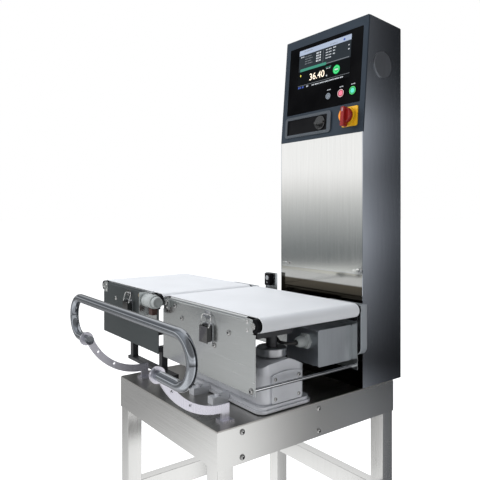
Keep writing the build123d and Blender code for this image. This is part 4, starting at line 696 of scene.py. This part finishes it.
# Studio: white surroundings, a pale floor that keeps the shadow, and lamps; lengths in metres
def studio_floor():
    """Bright and shadowed to the eye, plain to scattered light, with a glow that fades away."""
    material = bpy.data.materials.new("studio_floor")
    material.use_nodes = True
    tree = material.node_tree
    tree.nodes.clear()
    path = add_node(tree, "ShaderNodeLightPath")
    matt = add_node(tree, "ShaderNodeBsdfDiffuse", {"Color": (0.72, 0.72, 0.72)})
    white = add_node(tree, "ShaderNodeEmission", {"Color": (1, 1, 1), "Strength": 0.80})
    bright = add_node(tree, "ShaderNodeAddShader",
                      {0: matt.outputs["BSDF"], 1: white.outputs["Emission"]})
    coordinates = add_node(tree, "ShaderNodeTexCoord")
    distance = add_node(tree, "ShaderNodeVectorMath", {0: coordinates.outputs["Object"]},
                        operation="LENGTH")
    fade = ranged(tree, distance.outputs["Value"], 0.62, 0.06, 0.8, 4.5)
    level = add_node(tree, "ShaderNodeCombineColor", {"Red": fade, "Green": fade, "Blue": fade})
    glow = add_node(tree, "ShaderNodeEmission", {"Color": level.outputs["Color"]})
    to_eye = add_node(tree, "ShaderNodeMixShader",
                      {"Fac": path.outputs["Is Camera Ray"], 1: glow.outputs["Emission"],
                       2: bright.outputs["Shader"]})
    to_all = add_node(tree, "ShaderNodeMixShader",
                      {"Fac": path.outputs["Is Diffuse Ray"], 1: to_eye.outputs["Shader"],
                       2: matt.outputs["BSDF"]})
    add_node(tree, "ShaderNodeOutputMaterial", {"Surface": to_all.outputs["Shader"]})
    return material


REACH = 60
mesh = bpy.data.meshes.new("studio_floor")
mesh.from_pydata([(-REACH, -REACH, 0), (REACH, -REACH, 0), (REACH, REACH, 0), (-REACH, REACH, 0)],
                 [], [(0, 1, 2, 3)])
mesh.materials.append(studio_floor())
floor = add_object("studio_floor", mesh)
floor.location = (0, 0, -0.0005)
floor.visible_glossy = False


def lamp(name, location, target, size, power, color=(1, 1, 1)):
    """Area lamp that points at a target and isn't mirrored."""
    data = bpy.data.lights.new(name, "AREA")
    data.shape = "RECTANGLE"
    data.size, data.size_y = size
    data.energy = power
    data.color = color
    obj = add_object(name, data)
    obj.location = location
    obj.rotation_euler = (Vector(target) - Vector(location)).to_track_quat("-Z", "Y").to_euler()
    obj.visible_glossy = False


lamp("key_lamp", (-1.9, -1.75, 2.05), (0.1, 0.1, 1.1), (1.9, 1.3), 42)
lamp("top_lamp", (-0.2, -0.1, 3.2), (0, 0, 0.8), (2.0, 2.0), 26, (0.93, 0.96, 1.0))
lamp("front_lamp", (0.9, -2.6, 1.1), (0.0, -0.1, 0.7), (1.2, 1.2), 14, (1.0, 0.99, 0.97))
lamp("fill_lamp", (2.7, -0.5, 0.75), (0.2, -0.1, 0.8), (1.4, 1.0), 7)

# Surroundings: white to the eye, a soft gradient for the light, and for the metal what a hall
# mirrors: bands by height at the left front, a fall from bright to dark towards the right rear
world = bpy.data.worlds.new("studio")
world.use_nodes = True
tree = world.node_tree
tree.nodes.clear()
direction = add_node(tree, "ShaderNodeTexCoord").outputs["Generated"]
facing = add_node(tree, "ShaderNodeVectorMath", {0: direction, 1: (-0.72, -0.66, 0.22)},
                  operation="DOT_PRODUCT")
brightness = add_node(tree, "ShaderNodeMapRange",
                      {"Value": facing.outputs["Value"], "From Min": -0.75, "From Max": 1.0,
                       "To Min": 0.07, "To Max": 0.95}, interpolation_type="SMOOTHSTEP")
parts = add_node(tree, "ShaderNodeSeparateXYZ", {"Vector": direction})
rightward, rearward, height = (parts.outputs[axis] for axis in "XYZ")
turn = add_node(tree, "ShaderNodeMath", {0: rearward, 1: rightward}, operation="ARCTAN2")
bearing = turn.outputs["Value"]

bands = ramp(tree, height, -1.0, 1.0, [
    (-1.0, (1.0, 1.0, 1.0)), (-0.42, (1.0, 1.0, 1.0)), (-0.38, (0.74, 0.74, 0.74)),
    (-0.34, (0.46, 0.46, 0.46)), (-0.17, (0.52, 0.52, 0.52)), (-0.155, (0.05, 0.05, 0.045)),
    (-0.130, (0.045, 0.045, 0.04)), (-0.122, (0.74, 0.76, 0.74)), (-0.106, (0.84, 0.86, 0.83)),
    (-0.096, (0.16, 0.17, 0.175)), (-0.066, (0.19, 0.205, 0.21)), (-0.02, (0.38, 0.395, 0.395)),
    (0.024, (0.62, 0.63, 0.625)), (0.045, (0.81, 0.81, 0.805)), (0.075, (1.0, 1.0, 1.0)),
    (0.16, (1.0, 1.0, 1.0)), (0.22, (0.30, 0.31, 0.32)), (1.0, (0.60, 0.62, 0.65))])
towards_left = ramp(tree, bearing, -3.2, 0.0, grey(
    (-3.2, 0.45), (-2.76, 0.58), (-2.64, 0.66), (-2.52, 1.05), (-2.44, 1.0), (0.0, 1.0)))
left_front = blended(tree, 1.0, bands, towards_left, "MULTIPLY")
left_rear = ramp(tree, height, -1.0, 1.0, grey(
    (-1.0, 0.10), (0.10, 0.14), (0.28, 0.22), (0.33, 0.38), (0.38, 0.72), (0.45, 0.85),
    (1.0, 0.85)))
right_fall = ramp(tree, bearing, 0.0, 1.6, grey(
    (0.0, 0.6), (0.36, 0.8), (0.49, 1.1), (0.645, 1.0), (0.70, 0.62), (0.74, 0.24),
    (0.785, 0.07), (0.82, 0.18)) + [
    (0.86, (0.34, 0.355, 0.38)), (0.895, (0.13, 0.135, 0.148)),
    (0.925, (0.045, 0.048, 0.054)), (1.1, (0.03, 0.032, 0.036))])
right_bands = ramp(tree, height, -0.5, 0.5, grey(
    (-0.5, 1.0), (-0.33, 1.0), (-0.26, 0.16), (-0.17, 0.62), (-0.042, 1.45), (0.02, 1.25),
    (0.071, 1.0), (0.12, 1.25), (0.163, 1.35), (0.20, 0.80), (0.26, 0.38), (0.5, 0.38)))
right = blended(tree, 1.0, right_fall, right_bands, "MULTIPLY")
to_right = ramp(tree, rightward, -0.2, 0.2, grey((-0.2, 0.0), (0.2, 1.0)))
to_rear = ramp(tree, rearward, -0.2, 0.2, grey((-0.2, 0.0), (0.2, 1.0)))
left = blended(tree, to_rear, left_front, left_rear)

white = add_node(tree, "ShaderNodeBackground", {"Color": (1, 1, 1)})
light = add_node(tree, "ShaderNodeBackground",
                 {"Color": (0.93, 0.96, 1), "Strength": brightness.outputs["Result"]})
mirrored = add_node(tree, "ShaderNodeBackground",
                    {"Color": blended(tree, to_right, left, right), "Strength": 1.36})
path = add_node(tree, "ShaderNodeLightPath")
to_metal = add_node(tree, "ShaderNodeMixShader",
                    {"Fac": path.outputs["Is Glossy Ray"], 1: light.outputs["Background"],
                     2: mirrored.outputs["Background"]})
to_all = add_node(tree, "ShaderNodeMixShader",
                  {"Fac": path.outputs["Is Camera Ray"], 1: to_metal.outputs["Shader"],
                   2: white.outputs["Background"]})
add_node(tree, "ShaderNodeOutputWorld", {"Surface": to_all.outputs["Shader"]})
world.cycles.sampling_method = "NONE"
bpy.context.scene.world = world

# View from the right of the front, level, with the picture shifted down
camera_data = bpy.data.cameras.new("camera")
camera_data.lens = 39.95
camera_data.sensor_width = 36
camera_data.shift_y = -0.0569
camera = add_object("camera", camera_data)
camera.location = (1.1276, -0.8966, 1.046)
camera.rotation_euler = (math.pi / 2, 0, math.radians(53.184))
bpy.context.scene.camera = camera
bpy.context.scene.view_settings.view_transform = "Standard"
